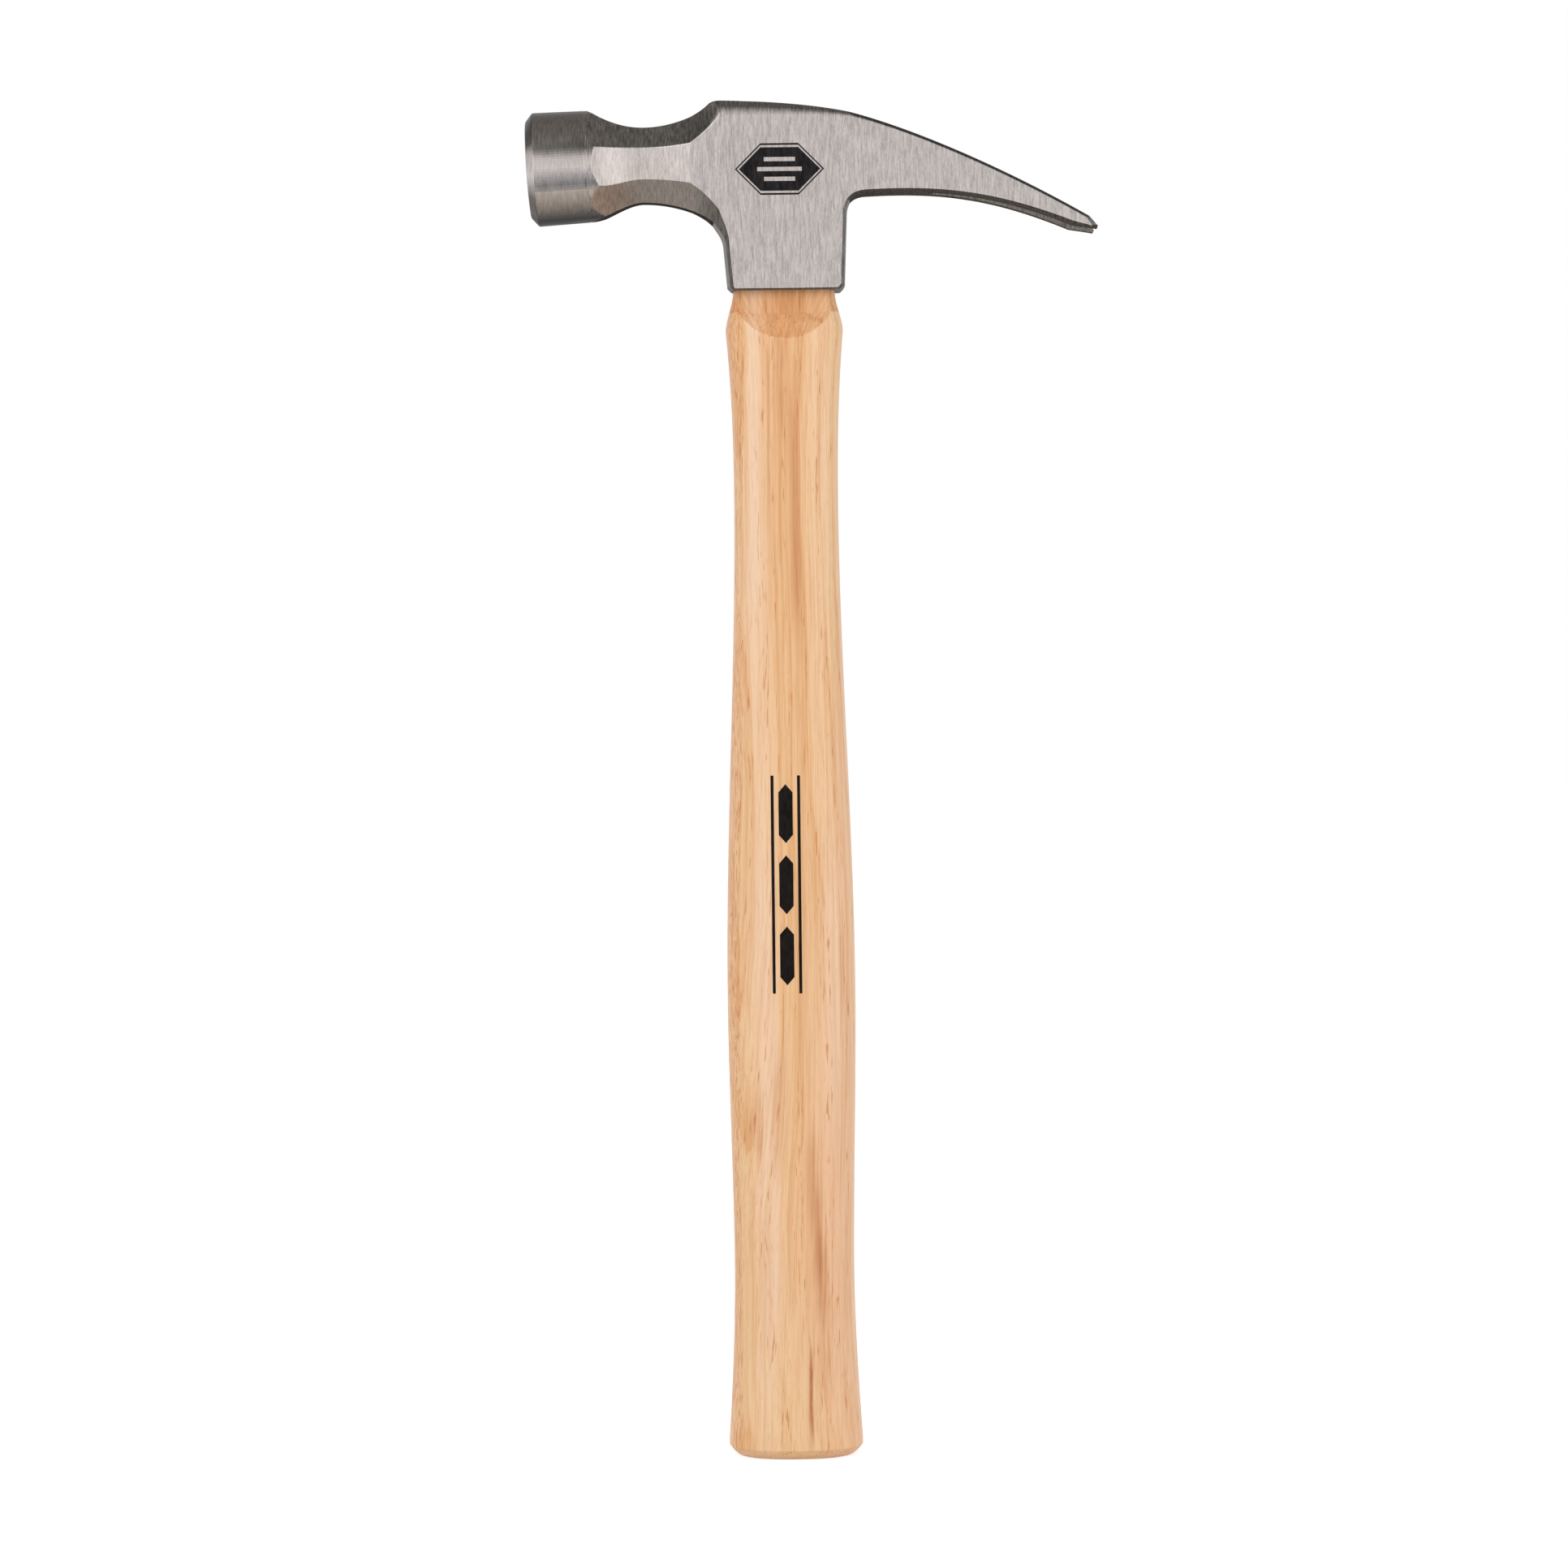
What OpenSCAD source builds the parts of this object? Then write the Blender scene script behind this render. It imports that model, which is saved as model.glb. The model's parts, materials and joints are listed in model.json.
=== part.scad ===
// Framing hammer with a rip claw and a straight wooden handle.
// The handle stands on its butt along +Z, the striking face looks along -X and the claw reaches along +X.

/* [Handle] */
// Height of the mouth of the head above the butt
mouth_z = 349.5; // [300:0.5:420]
// Width of the handle just above the butt
butt_w = 40.3; // [36:0.1:44]
// Thickness of the handle just above the butt
butt_t = 28.4; // [25:0.1:31]
// Height of that widest place
butt_z = 5.2; // [4.5:0.1:8]
// Bevel round the butt, across the handle
butt_bevel = 2.8; // [1:0.1:4]
// Height of that bevel
butt_bevel_h = 3.2; // [1:0.1:4]
// Width where the grip draws in above the butt
heel_w = 36.1; // [33:0.1:40]
// Thickness where the grip draws in above the butt
heel_t = 25.8; // [23:0.1:29]
// Height of that narrow place
heel_z = 56; // [35:0.5:70]
// Width of the palm swell
palm_w = 38.5; // [35:0.1:42]
// Thickness of the palm swell
palm_t = 27; // [24:0.1:30]
// Height of the palm swell
palm_z = 140; // [120:0.5:170]
// Width of the waist below the head
waist_w = 31.1; // [28:0.1:34]
// Thickness of the waist below the head
waist_t = 23.8; // [21:0.1:27]
// Depth of the waist below the mouth of the head
waist_drop = 61.5; // [40:0.5:80]
// Width of the shoulders under the head
shoulder_w = 35; // [32:0.1:38]
// Thickness of the shoulders under the head
shoulder_t = 26; // [23:0.1:29]
// Depth of the shoulders below the mouth of the head
shoulder_drop = 12.1; // [8:0.1:16]
// Length of the scooped ramps that thin the shoulders to the tongue
scoop_drop = 15; // [10:0.1:20]

/* [Eye and tongue] */
// Width of the eye at the mouth
eye_mouth_w = 30.4; // [28:0.1:31.5]
// Distance between the flat sides of the eye at the mouth
eye_mouth_t = 19.4; // [17:0.1:21]
// Width of the eye at its narrowest
eye_waist_w = 27.8; // [25:0.1:30]
// Distance between the flat sides of the eye at its narrowest
eye_waist_t = 18; // [16:0.1:20]
// Height of that narrow place above the mouth
eye_waist_h = 25; // [18:0.5:34]
// Width of the eye at the top
eye_top_w = 31; // [28:0.1:32]
// Distance between the flat sides of the eye at the top
eye_top_t = 20.6; // [18:0.1:21.5]
// How far the end of the tongue lies below the rim of the eye
tongue_sink = 0.5; // [0.2:0.1:3]
// Gap between pieces that are driven together
fit_gap = 0.05; // [0.02:0.01:0.15]

/* [Wedges] */
// Length of the wooden wedge along the eye
wood_wedge_w = 27; // [22:0.5:27.5]
// Thickness of the wooden wedge at the top
wood_wedge_top_t = 4.4; // [3:0.1:6]
// Thickness of the wooden wedge at its tip
wood_wedge_tip_t = 1; // [0.6:0.1:2]
// Depth of the wooden wedge
wood_wedge_depth = 34; // [25:0.5:42]
// Width of each steel wedge across the eye
steel_wedge_w = 15.5; // [12:0.5:16.5]
// Thickness of each steel wedge at the top
steel_wedge_top_t = 3; // [2:0.1:4]
// Thickness of each steel wedge at its tip
steel_wedge_tip_t = 1.2; // [1:0.1:1.6]
// Depth of each steel wedge
steel_wedge_depth = 19; // [12:0.5:24]
// Distance between the two steel wedges
steel_wedge_spacing = 13.5; // [10:0.5:16]
// Steps on each side of a steel wedge
steel_wedge_steps = 4; // [2:1:6]
// Depth of each step
steel_wedge_barb = 0.35; // [0.2:0.05:0.4]

/* [Striking poll] */
// Diameter of the poll at the neck
poll_d = 33.1; // [30:0.1:36]
// Diameter of the poll at the bevel of its face
poll_face_d = 33.7; // [30:0.1:36]
// Length of the poll from its face to the neck
poll_len = 17.9; // [14:0.1:24]
// Distance from the handle's axis to the back of the poll
poll_back_x = 58.3; // [54:0.1:64]
// Height of the poll's axis there, above the mouth
poll_h = 37.7; // [36:0.1:40]
// Angle at which the poll leans towards the handle
poll_tilt = 2.9; // [0:0.1:5]
// Bevel round the face, along the axis
face_bevel_len = 2.2; // [1:0.1:4]
// Bevel round the face, across the axis
face_bevel_rim = 2.6; // [1:0.1:4]
// Radius of the crown of the face
face_crown_r = 220; // [80:5:400]
// Step in radius where the neck meets the poll
poll_step = 0.15; // [0.1:0.05:0.6]

/* [Neck] */
// Distance from the handle's axis to the narrowest part of the neck
neck_x = 41.4; // [38:0.1:45]
// Height of the neck's top there
neck_top_h = 48.8; // [47:0.1:50.5]
// Height of the neck's underside there
neck_low_h = 26.5; // [25.5:0.1:29]
// Thickness of the neck there
neck_t = 22; // [20:0.1:25]
// How far the flared neck stands past the poll before it is turned to its round
neck_flare_over = 1.5; // [0.8:0.1:2.2]
// Length of the neck that runs on inside the poll
neck_root = 1.6; // [1.2:0.1:3]
// Height of the neck's upper sloping facet at the poll
poll_top_facet = 11.9; // [9:0.1:12.5]
// Height of the neck's lower sloping facet at the poll
poll_low_facet = 10.8; // [9:0.1:12]

/* [Head body] */
// Thickness across the cheeks
cheek_t = 26; // [24.5:0.1:30]
// Distance from the handle's axis to the line where the cheeks start
cheek_x = 27.3; // [25.5:0.1:30]
// Height of the neck's top at that line
cheek_top_h = 51.7; // [50.5:0.1:53]
// Height of the neck's underside at that line
cheek_low_h = 24; // [23:0.1:26]
// Height of the upper sloping facet at that line
cheek_top_facet = 8.3; // [6:0.1:9]
// Height of the lower sloping facet at that line
cheek_low_facet = 7.6; // [6:0.1:9]
// Distance from the handle's axis to the front corner of the crest
crest_x = 21.6; // [20:0.1:23]
// Height of the crest along the middle
crest_h = 56.5; // [55:0.1:60]
// How far the corner of the crest lies below its top
crest_corner_drop = 0.8; // [0.3:0.1:1.5]
// Length of that rounded corner
crest_corner_run = 3.4; // [2:0.1:4.5]
// Bevel along the crest
crest_bevel = 2.9; // [1.5:0.1:3.5]
// Crown of the top, from its edges to its middle
top_crown = 0.5; // [0.1:0.1:1]
// Distance from the handle's axis to the front wall of the socket at the mouth
socket_front_x = 16.9; // [16.7:0.1:18]
// How far that wall leans out at its top
socket_front_lean = 1.1; // [0.3:0.1:2]
// Height at which that wall turns into the neck
socket_front_h = 13.4; // [10:0.1:15]
// Height of the end of that turn
socket_turn_h = 19.5; // [18:0.1:21]
// Length of that turn towards the poll
socket_turn_run = 3; // [2:0.1:4]
// Distance from the handle's axis to the back wall of the socket at the mouth
socket_back_x = 18.3; // [17.5:0.1:20]
// How far that wall leans out at its top
socket_back_lean = 0.8; // [0.2:0.1:1.5]
// Height at which that wall turns into the claw
socket_back_h = 23.2; // [20:0.1:25]
// Rounding of the front corner of the mouth
mouth_front_r = 0.9; // [0.5:0.1:2]
// Rounding of the back corner of the mouth
mouth_back_r = 1.5; // [0.5:0.1:2.5]
// Bevel along the mouth
mouth_bevel = 0.4; // [0.2:0.1:0.8]
// Bevel along the front wall of the socket
front_bevel = 1.1; // [0.5:0.1:1.5]
// Draft of that wall, from its bevel to its middle
front_draft = 1; // [0.2:0.1:1.2]
// Bevel along the back wall of the socket
back_bevel = 0.9; // [0.5:0.1:1.5]
// Draft of that wall, from its bevel to its middle
back_draft = 0.5; // [0.2:0.1:1]

/* [Claw] */
// Distance from the handle's axis to the tip of the claw
claw_x = 93.2; // [85:0.1:105]
// Distance from the handle's axis to where the claw's top leaves the eye
claw_root_x = 20; // [18.5:0.1:22]
// Height of the claw's top there
claw_root_h = 52.6; // [51:0.1:54]
// Bevel along the claw's top there
claw_root_bevel = 1.4; // [0.8:0.1:2]
// Distance from the handle's axis to the end of the rounding under the claw
claw_under_x = 24.4; // [22.5:0.1:27]
// Height of the claw's underside there
claw_under_h = 28.1; // [27:0.1:30]
// Height of the underside of the tip
tip_h = 17; // [14:0.1:20]
// Thickness of the tip
tip_t = 3.7; // [2.4:0.1:4.5]
// Length of the ground nose of the tip
tip_nose = 2.5; // [1.5:0.1:3.5]
// Length of the flat ground under the tip
tip_flat = 7.5; // [4:0.1:10]
// Rise of that flat towards the handle
tip_flat_rise = 1.2; // [0.3:0.1:1.8]
// Bevel along the claw near the tip
tip_bevel = 1.1; // [0.5:0.1:1.3]
// Bevel along the root of the claw's underside
under_bevel = 0.5; // [0.2:0.1:1]
// Crown of the claw's underside
under_crown = 0.3; // [0.1:0.1:0.6]
// Length of the nail notch
notch_len = 47; // [35:0.5:55]
// Width of the nail notch between the tips
notch_w = 12.6; // [10:0.1:14]
// Width of the nail notch at its root
notch_root_w = 2.4; // [1.6:0.1:3.5]
// Angle at which the notch leans with the claw
notch_lean = 26; // [15:1:35]
// Bevel of the notch's edges on the handle side of the claw
notch_bevel = 1.5; // [0.5:0.1:2]
// Depth of that bevel
notch_bevel_depth = 1.6; // [0.8:0.1:2]
// Length ground off the outer corners of the tips
corner_len = 7; // [4:0.1:10]
// Width ground off the outer corners of the tips
corner_w = 2.4; // [1:0.1:3.5]

/* [Hidden] */

// Overrun of every cut
over = 1;
// Sides of each ring round the handle, and rings along each of its stretches
ring_sides = 40;
stretch_rings = 8;
// Shape of the handle's oval at the butt and at the shoulders, from 2 for an ellipse towards a box
butt_oval = 2.3;
shoulder_oval = 2.9;
// Height of the corners of an eight-sided neck, as a share of its size
octagon_share = 0.29;
// How sharply the handle flares at the butt and at the shoulders
butt_flare = 1.7;
shoulder_flare = 2.3;
// Share of the claw's top that lies over the rounding under its root
claw_root_share = 0.13;
// Handles of the head's curves, as shares of each curve's run and rise
crest_rise_shares = [[0.4, 0.3], [0.28, 0.42]];
crest_turn_shares = [[0.3, 0.7], [0.5, 0]];
eye_top_shares = [[0.35, 0.1], [0.3, 0.65]];
claw_top_shares = [[0.28, 0.17], [0.33, 0.43]];
claw_under_shares = [[0.38, -0.12], [0.36, 0.88]];
root_turn_shares = [[0.1, 0.6], [0.6, 0.05]];
socket_turn_shares = [[0.36, 0.3], [0.12, 0.45]];
neck_turn_shares = [[0.36, 0.24], [0.34, 0.46]];
mouth_turn_shares = [[0.5, 0], [0.3, 0.7]];
straight_shares = [[0.33, 0.33], [0.33, 0.33]];

poll_r = poll_d / 2;
cheek_y = cheek_t / 2;
neck_y = neck_t / 2;
waist_z = mouth_z - waist_drop;
shoulder_z = mouth_z - shoulder_drop;
scoop_rise = (shoulder_t - eye_mouth_t) / 2;
scoop_r = (scoop_drop * scoop_drop / scoop_rise + scoop_rise) / 2;
tip_top_x = claw_x - tip_nose;
tip_flat_x = claw_x - tip_flat;
notch_root_x = claw_x - notch_len;
eye_oval_t = shoulder_t;
eye_top_h = max(crest_h, claw_root_h);

function mix(a, b, t) = a + (b - a) * t;
function ease(t) = t * t * (3 - 2 * t);
function part_of(a, b, v) = (v - a) / (b - a);

// Even steps from 0 up to but without 1
function even(steps) = [for (i = [0 : steps - 1]) i / steps];

// Points at the given steps from p to q, along handles that are shares of the run and the rise
function curve(p, q, shares, steps) =
    let (d = q - p)
    let (a = p + [shares[0].x * d.x, shares[0].y * d.y, d.z / 3])
    let (b = q - [shares[1].x * d.x, shares[1].y * d.y, d.z / 3])
    [for (t = steps)
        let (u = 1 - t)
        u * u * u * p + 3 * u * u * t * a + 3 * u * t * t * b + t * t * t * q];

// Width of the handle at a height: flared at the butt and the shoulders, eased between its other places
function grip_size(z, butt, heel, palm, waist, shoulder, mouth) =
    z < butt_z ? butt :
    z < heel_z ? mix(heel, butt, pow(part_of(heel_z, butt_z, z), butt_flare)) :
    z < palm_z ? mix(heel, palm, ease(part_of(heel_z, palm_z, z))) :
    z < waist_z ? mix(palm, waist, ease(part_of(palm_z, waist_z, z))) :
    z < shoulder_z ? mix(waist, shoulder, pow(part_of(waist_z, shoulder_z, z), shoulder_flare)) :
    mix(shoulder, mouth, ease(part_of(shoulder_z, mouth_z, z)));

function grip_w(z) = grip_size(z, butt_w, heel_w, palm_w, waist_w, shoulder_w, eye_mouth_w - 2 * fit_gap);
function grip_t(z) = grip_size(z, butt_t, heel_t, palm_t, waist_t, shoulder_t, shoulder_t);
function grip_oval(z) = mix(butt_oval, shoulder_oval, z / mouth_z);

// An oval ring, cut flat where it is thicker than its flat sides
function oval(w, t, flat, shape, z) =
    [for (i = [0 : ring_sides - 1])
        let (c = cos(360 * i / ring_sides))
        let (s = sin(360 * i / ring_sides))
        let (y = t / 2 * pow(abs(s), 2 / shape))
        [w / 2 * sign(c) * pow(abs(c), 2 / shape), sign(s) * min(y, flat / 2), z]];

// Size of the eye at a height above the mouth: it narrows to a waist and widens again
function eye_size(h, mouth, waist, top) =
    h < eye_waist_h
        ? mix(waist, mouth, pow(1 - h / eye_waist_h, 2))
        : mix(waist, top, pow((h - eye_waist_h) / (eye_top_h - eye_waist_h), 2));

function eye_ring(h, gap) =
    oval(
        eye_size(h, eye_mouth_w, eye_waist_w, eye_top_w) - 2 * gap,
        eye_oval_t,
        eye_size(h, eye_mouth_t, eye_waist_t, eye_top_t) - 2 * gap,
        shoulder_oval,
        mouth_z + h
    );

// Height of the tongue's sloping end above the mouth, level with the rim of the eye
function tongue_end_h(x) =
    mix(crest_h, claw_root_h, part_of(-crest_x, claw_root_x, x)) - top_crown - tongue_sink;

// A closed skin over a stack of rings
module loft(rings) {
    count = len(rings);
    sides = len(rings[0]);
    polyhedron(
        points = [for (ring = rings) each ring],
        faces = concat(
            [[for (i = [0 : sides - 1]) i]],
            [[for (i = [0 : sides - 1]) count * sides - 1 - i]],
            [for (k = [0 : count - 2], i = [0 : sides - 1])
                let (j = (i + 1) % sides)
                each [
                    [k * sides + i, (k + 1) * sides + i, (k + 1) * sides + j],
                    [k * sides + i, (k + 1) * sides + j, k * sides + j]
                ]]
        )
    );
}

// Places of the head's side outline, each at its middle, its rim and its face, as [x, height, half thickness]
function level(mid, rim, face, rim_depth, face_y) =
    [[mid.x, mid.y, 0], [rim.x, rim.y, face_y - rim_depth], [face.x, face.y, face_y]];

neck_rim_depth = 2 * octagon_share * cheek_y;
crest_rim_h = crest_h - top_crown;
crest_face_h = crest_rim_h - crest_bevel;
root_rim_h = claw_root_h - top_crown;
tip_top_h = tip_h + tip_t;
flat_h = tip_h + tip_flat_rise;
front_top_x = socket_front_x + socket_front_lean;
front_turn_x = front_top_x + socket_turn_run;
back_top_x = socket_back_x + socket_back_lean;
front_face_in = front_draft + front_bevel;
back_face_in = back_draft + back_bevel;

cheek_top = level(
    [-cheek_x, cheek_top_h],
    [-cheek_x, cheek_top_h],
    [-cheek_x, cheek_top_h - cheek_top_facet],
    neck_rim_depth, cheek_y
);
crest_front = level(
    [-crest_x, crest_h - crest_corner_drop],
    [-crest_x, crest_rim_h - crest_corner_drop],
    [-crest_x + crest_corner_run, crest_face_h - crest_corner_drop],
    crest_bevel, cheek_y
);
crest_back = level(
    [-crest_x + crest_corner_run, crest_h],
    [-crest_x + crest_corner_run, crest_rim_h],
    [-crest_x + 2 * crest_corner_run, crest_face_h],
    crest_bevel, cheek_y
);
claw_root = level(
    [claw_root_x, claw_root_h],
    [claw_root_x, root_rim_h],
    [claw_root_x, root_rim_h - claw_root_bevel],
    claw_root_bevel, cheek_y
);
tip_top = level(
    [tip_top_x, tip_top_h],
    [tip_top_x, tip_top_h],
    [tip_top_x - tip_bevel, tip_top_h - tip_bevel / 2],
    tip_bevel, cheek_y
);
tip_nose_top = level(
    [claw_x, tip_h + tip_t / 5],
    [claw_x, tip_h + tip_t / 5],
    [claw_x - 2 * tip_bevel, tip_h + tip_t / 3],
    tip_bevel, cheek_y
);
tip_nose_low = level(
    [claw_x - tip_bevel / 4, tip_h],
    [claw_x - tip_bevel / 4, tip_h],
    [claw_x - 2 * tip_bevel, tip_h + tip_t / 5],
    tip_bevel, cheek_y
);
tip_low = level(
    [claw_x - tip_bevel, tip_h + tip_bevel * tip_flat_rise / tip_flat],
    [claw_x - tip_bevel, tip_h + tip_bevel * tip_flat_rise / tip_flat],
    [claw_x - 3 * tip_bevel, tip_h + tip_bevel],
    tip_bevel, cheek_y
);
tip_flat_end = level(
    [tip_flat_x, flat_h],
    [tip_flat_x, flat_h],
    [tip_flat_x, flat_h + tip_bevel],
    tip_bevel, cheek_y
);
claw_under = level(
    [claw_under_x, claw_under_h],
    [claw_under_x, claw_under_h + under_crown],
    [claw_under_x, claw_under_h + under_crown + under_bevel],
    under_bevel, cheek_y
);
back_top = level(
    [back_top_x, socket_back_h],
    [back_top_x - back_draft, socket_back_h],
    [back_top_x - back_face_in, socket_back_h],
    back_bevel, cheek_y
);
back_low = level(
    [socket_back_x, mouth_back_r],
    [socket_back_x - back_draft, mouth_back_r],
    [socket_back_x - back_face_in, mouth_back_r],
    back_bevel, cheek_y
);
mouth_back = level(
    [socket_back_x - mouth_back_r, 0],
    [socket_back_x - back_draft - mouth_back_r, 0],
    [socket_back_x - back_face_in - mouth_back_r, mouth_bevel],
    mouth_bevel, cheek_y
);
mouth_front = level(
    [-socket_front_x + mouth_front_r, 0],
    [-socket_front_x + front_draft + mouth_front_r, 0],
    [-socket_front_x + front_face_in + mouth_front_r / 2, mouth_bevel],
    mouth_bevel, cheek_y
);
front_low = level(
    [-socket_front_x, mouth_front_r],
    [-socket_front_x + front_draft, mouth_front_r],
    [-socket_front_x + front_face_in, mouth_front_r],
    front_bevel, cheek_y
);
front_top = level(
    [-front_top_x, socket_front_h],
    [-front_top_x + front_draft, socket_front_h],
    [-front_top_x + front_face_in, socket_front_h],
    front_bevel, cheek_y
);
front_turn = level(
    [-front_turn_x, socket_turn_h],
    [-front_turn_x + front_draft / 2, socket_turn_h + front_draft / 2],
    [-front_turn_x + front_face_in, socket_turn_h + 2 * front_face_in],
    2 * front_bevel, cheek_y
);
cheek_low = level(
    [-cheek_x, cheek_low_h],
    [-cheek_x, cheek_low_h],
    [-cheek_x, cheek_low_h + cheek_low_facet],
    neck_rim_depth, cheek_y
);

// Steps along the claw's top, closer together over the rounding under its root
claw_top_steps = concat(
    claw_root_share * even(6),
    [for (i = [0 : 12]) mix(claw_root_share, 1, i / 13)]
);

// Top edge of the head at one level, from the cheeks' front line to the tip
function top_line(g) = concat(
    curve(cheek_top[g], crest_front[g], crest_rise_shares, even(5)),
    curve(crest_front[g], crest_back[g], crest_turn_shares, even(5)),
    curve(crest_back[g], claw_root[g], eye_top_shares, even(8)),
    curve(claw_root[g], tip_top[g], claw_top_shares, claw_top_steps),
    [tip_top[g], tip_nose_top[g]]
);

// Bottom edge at the same level, round the socket and under the claw, with a point for each point of the top
function low_line(g) = concat(
    curve(cheek_low[g], front_turn[g], neck_turn_shares, even(5)),
    curve(front_turn[g], front_top[g], socket_turn_shares, even(5)),
    [front_top[g]],
    curve(front_low[g], mouth_front[g], straight_shares, even(2)),
    [mouth_front[g]],
    curve(mouth_back[g], back_low[g], mouth_turn_shares, even(3)),
    [back_low[g]],
    curve(back_top[g], claw_under[g], root_turn_shares, even(6)),
    curve(claw_under[g], tip_flat_end[g], claw_under_shares, even(12)),
    [tip_flat_end[g], tip_low[g], tip_nose_low[g]]
);

top_lines = [top_line(0), top_line(1), top_line(2)];
low_lines = [low_line(0), low_line(1), low_line(2)];
station_count = len(top_lines[0]);

// A point of an edge, on the near or the far side
function at(lines, g, i, side) =
    let (p = lines[g][i])
    [p.x, side * p.z, mouth_z + p.y];

// Ten-sided section of the head at a station, in the order of the neck's sections
function body_ring(i) = [
    at(low_lines, 2, i, -1), at(low_lines, 1, i, -1), at(low_lines, 0, i, 1),
    at(low_lines, 1, i, 1), at(low_lines, 2, i, 1),
    at(top_lines, 2, i, 1), at(top_lines, 1, i, 1), at(top_lines, 0, i, 1),
    at(top_lines, 1, i, -1), at(top_lines, 2, i, -1)
];

// Flare of the neck from its narrowest place, 0 there and 1 at either end
function flare(x) =
    x < -neck_x
        ? part_of(-neck_x, -poll_back_x, x)
        : part_of(-neck_x, -cheek_x, x);

neck_end_r = poll_r + neck_flare_over;
function neck_top(x) = x < -neck_x
    ? mix(neck_top_h, poll_h + poll_r, pow(flare(x), 2))
    : mix(neck_top_h, cheek_top_h, pow(flare(x), 2));
function neck_low(x) = x < -neck_x
    ? mix(neck_low_h, poll_h - poll_r, ease(flare(x)))
    : mix(neck_low_h, cheek_low_h, pow(flare(x), 2));
function neck_half(x) = x < -neck_x
    ? mix(neck_y, neck_end_r, pow(flare(x), 2))
    : mix(neck_y, cheek_y, pow(flare(x), 2));
function neck_facet(x, poll_end, cheek_end) =
    mix(octagon_share * (neck_top_h - neck_low_h), x < -neck_x ? poll_end : cheek_end, pow(flare(x), 2));

// One eight-sided section of the neck, with the middle of its top and of its underside
function neck_ring(x) =
    let (top = mouth_z + neck_top(x))
    let (low = mouth_z + neck_low(x))
    let (y = neck_half(x))
    let (rim = y - 2 * octagon_share * y)
    let (top_edge = top - neck_facet(x, poll_top_facet, cheek_top_facet))
    let (low_edge = low + neck_facet(x, poll_low_facet, cheek_low_facet))
    [
        [x, -y, low_edge], [x, -rim, low], [x, 0, low], [x, rim, low], [x, y, low_edge],
        [x, y, top_edge], [x, rim, top], [x, 0, top], [x, -rim, top], [x, -y, top_edge]
    ];

neck_poll_steps = 8;
neck_cheek_steps = 6;
neck_places = concat(
    [-poll_back_x - neck_root],
    [for (t = even(neck_poll_steps)) mix(-poll_back_x, -neck_x, t)],
    [for (t = even(neck_cheek_steps)) mix(-neck_x, -cheek_x, t)]
);

// Neck, cheeks, socket and claw as one forging, whose sections run from the poll to the tip
module forging() {
    loft(concat(
        [for (x = neck_places) neck_ring(x)],
        [for (i = [0 : station_count - 1]) body_ring(i)]
    ));
}

// Along the poll's axis, which leaves the neck and leans towards the handle
module on_poll_axis() {
    translate([-poll_back_x, 0, mouth_z + poll_h])
        rotate([0, -90 - poll_tilt, 0])
            children();
}

// Turned poll with its bevel and its crowned face
module poll() {
    face_r = poll_face_d / 2 - face_bevel_rim;
    crown_steps = 5;
    crown_drop = face_crown_r - sqrt(face_crown_r * face_crown_r - face_r * face_r);
    on_poll_axis()
        rotate_extrude($fn = 96)
            polygon(concat(
                [[0, -poll_step], [poll_r, -poll_step]],
                [[poll_face_d / 2, poll_len - crown_drop - face_bevel_len]],
                [for (i = [0 : crown_steps])
                    let (r = face_r * (1 - i / crown_steps))
                    [r, poll_len - face_crown_r + sqrt(face_crown_r * face_crown_r - r * r)]]
            ));
}

// The round that trims the neck's flare to the poll
module neck_trim() {
    trim_r = poll_r - poll_step;
    on_poll_axis()
        translate([0, 0, cheek_x - poll_back_x])
            difference() {
                cylinder(r = poll_d, h = poll_back_x - cheek_x + poll_len, $fn = 96);
                translate([0, 0, -over])
                    cylinder(r = trim_r, h = poll_back_x - cheek_x + poll_len + 2 * over, $fn = 96);
            }
}

// The hourglass eye, cut through from below the mouth to above the crest
module eye() {
    eye_steps = 10;
    loft(concat(
        [[for (p = eye_ring(0, 0)) p - [0, 0, over]]],
        [for (i = [0 : eye_steps]) eye_ring(eye_top_h * i / eye_steps, 0)],
        [[for (p = eye_ring(eye_top_h, 0)) p + [0, 0, over]]]
    ));
}

// Half width of the nail notch at a distance from the handle's axis
function notch_half(x) = mix(notch_root_w, notch_w, part_of(notch_root_x, claw_x, x)) / 2;

// Nail notch, square to the slope of the claw
module notch() {
    deep = crest_h;
    end_x = claw_x + deep;
    translate([claw_x, 0, mouth_z + tip_h])
        rotate([0, notch_lean, 0])
            translate([-claw_x, 0, -deep])
                linear_extrude(2 * deep)
                    union() {
                        polygon([
                            [notch_root_x, notch_half(notch_root_x)],
                            [end_x, notch_half(end_x)],
                            [end_x, -notch_half(end_x)],
                            [notch_root_x, -notch_half(notch_root_x)]
                        ]);
                        translate([notch_root_x, 0])
                            circle(d = notch_root_w, $fn = 32);
                    }
}

// Height of the claw's underside along the middle, for each distance from the handle's axis
under_heights = [for (p = low_lines[0]) if (p.x >= claw_under_x) [p.x, p.y]];

// Half width of the notch at the inner edge of its bevel, whose walls lean with the claw
function notch_half_under(x) =
    let (rise = lookup(x, under_heights) + notch_bevel_depth - tip_h)
    notch_half(claw_x + (x - claw_x) * cos(notch_lean) - rise * sin(notch_lean));

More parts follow.
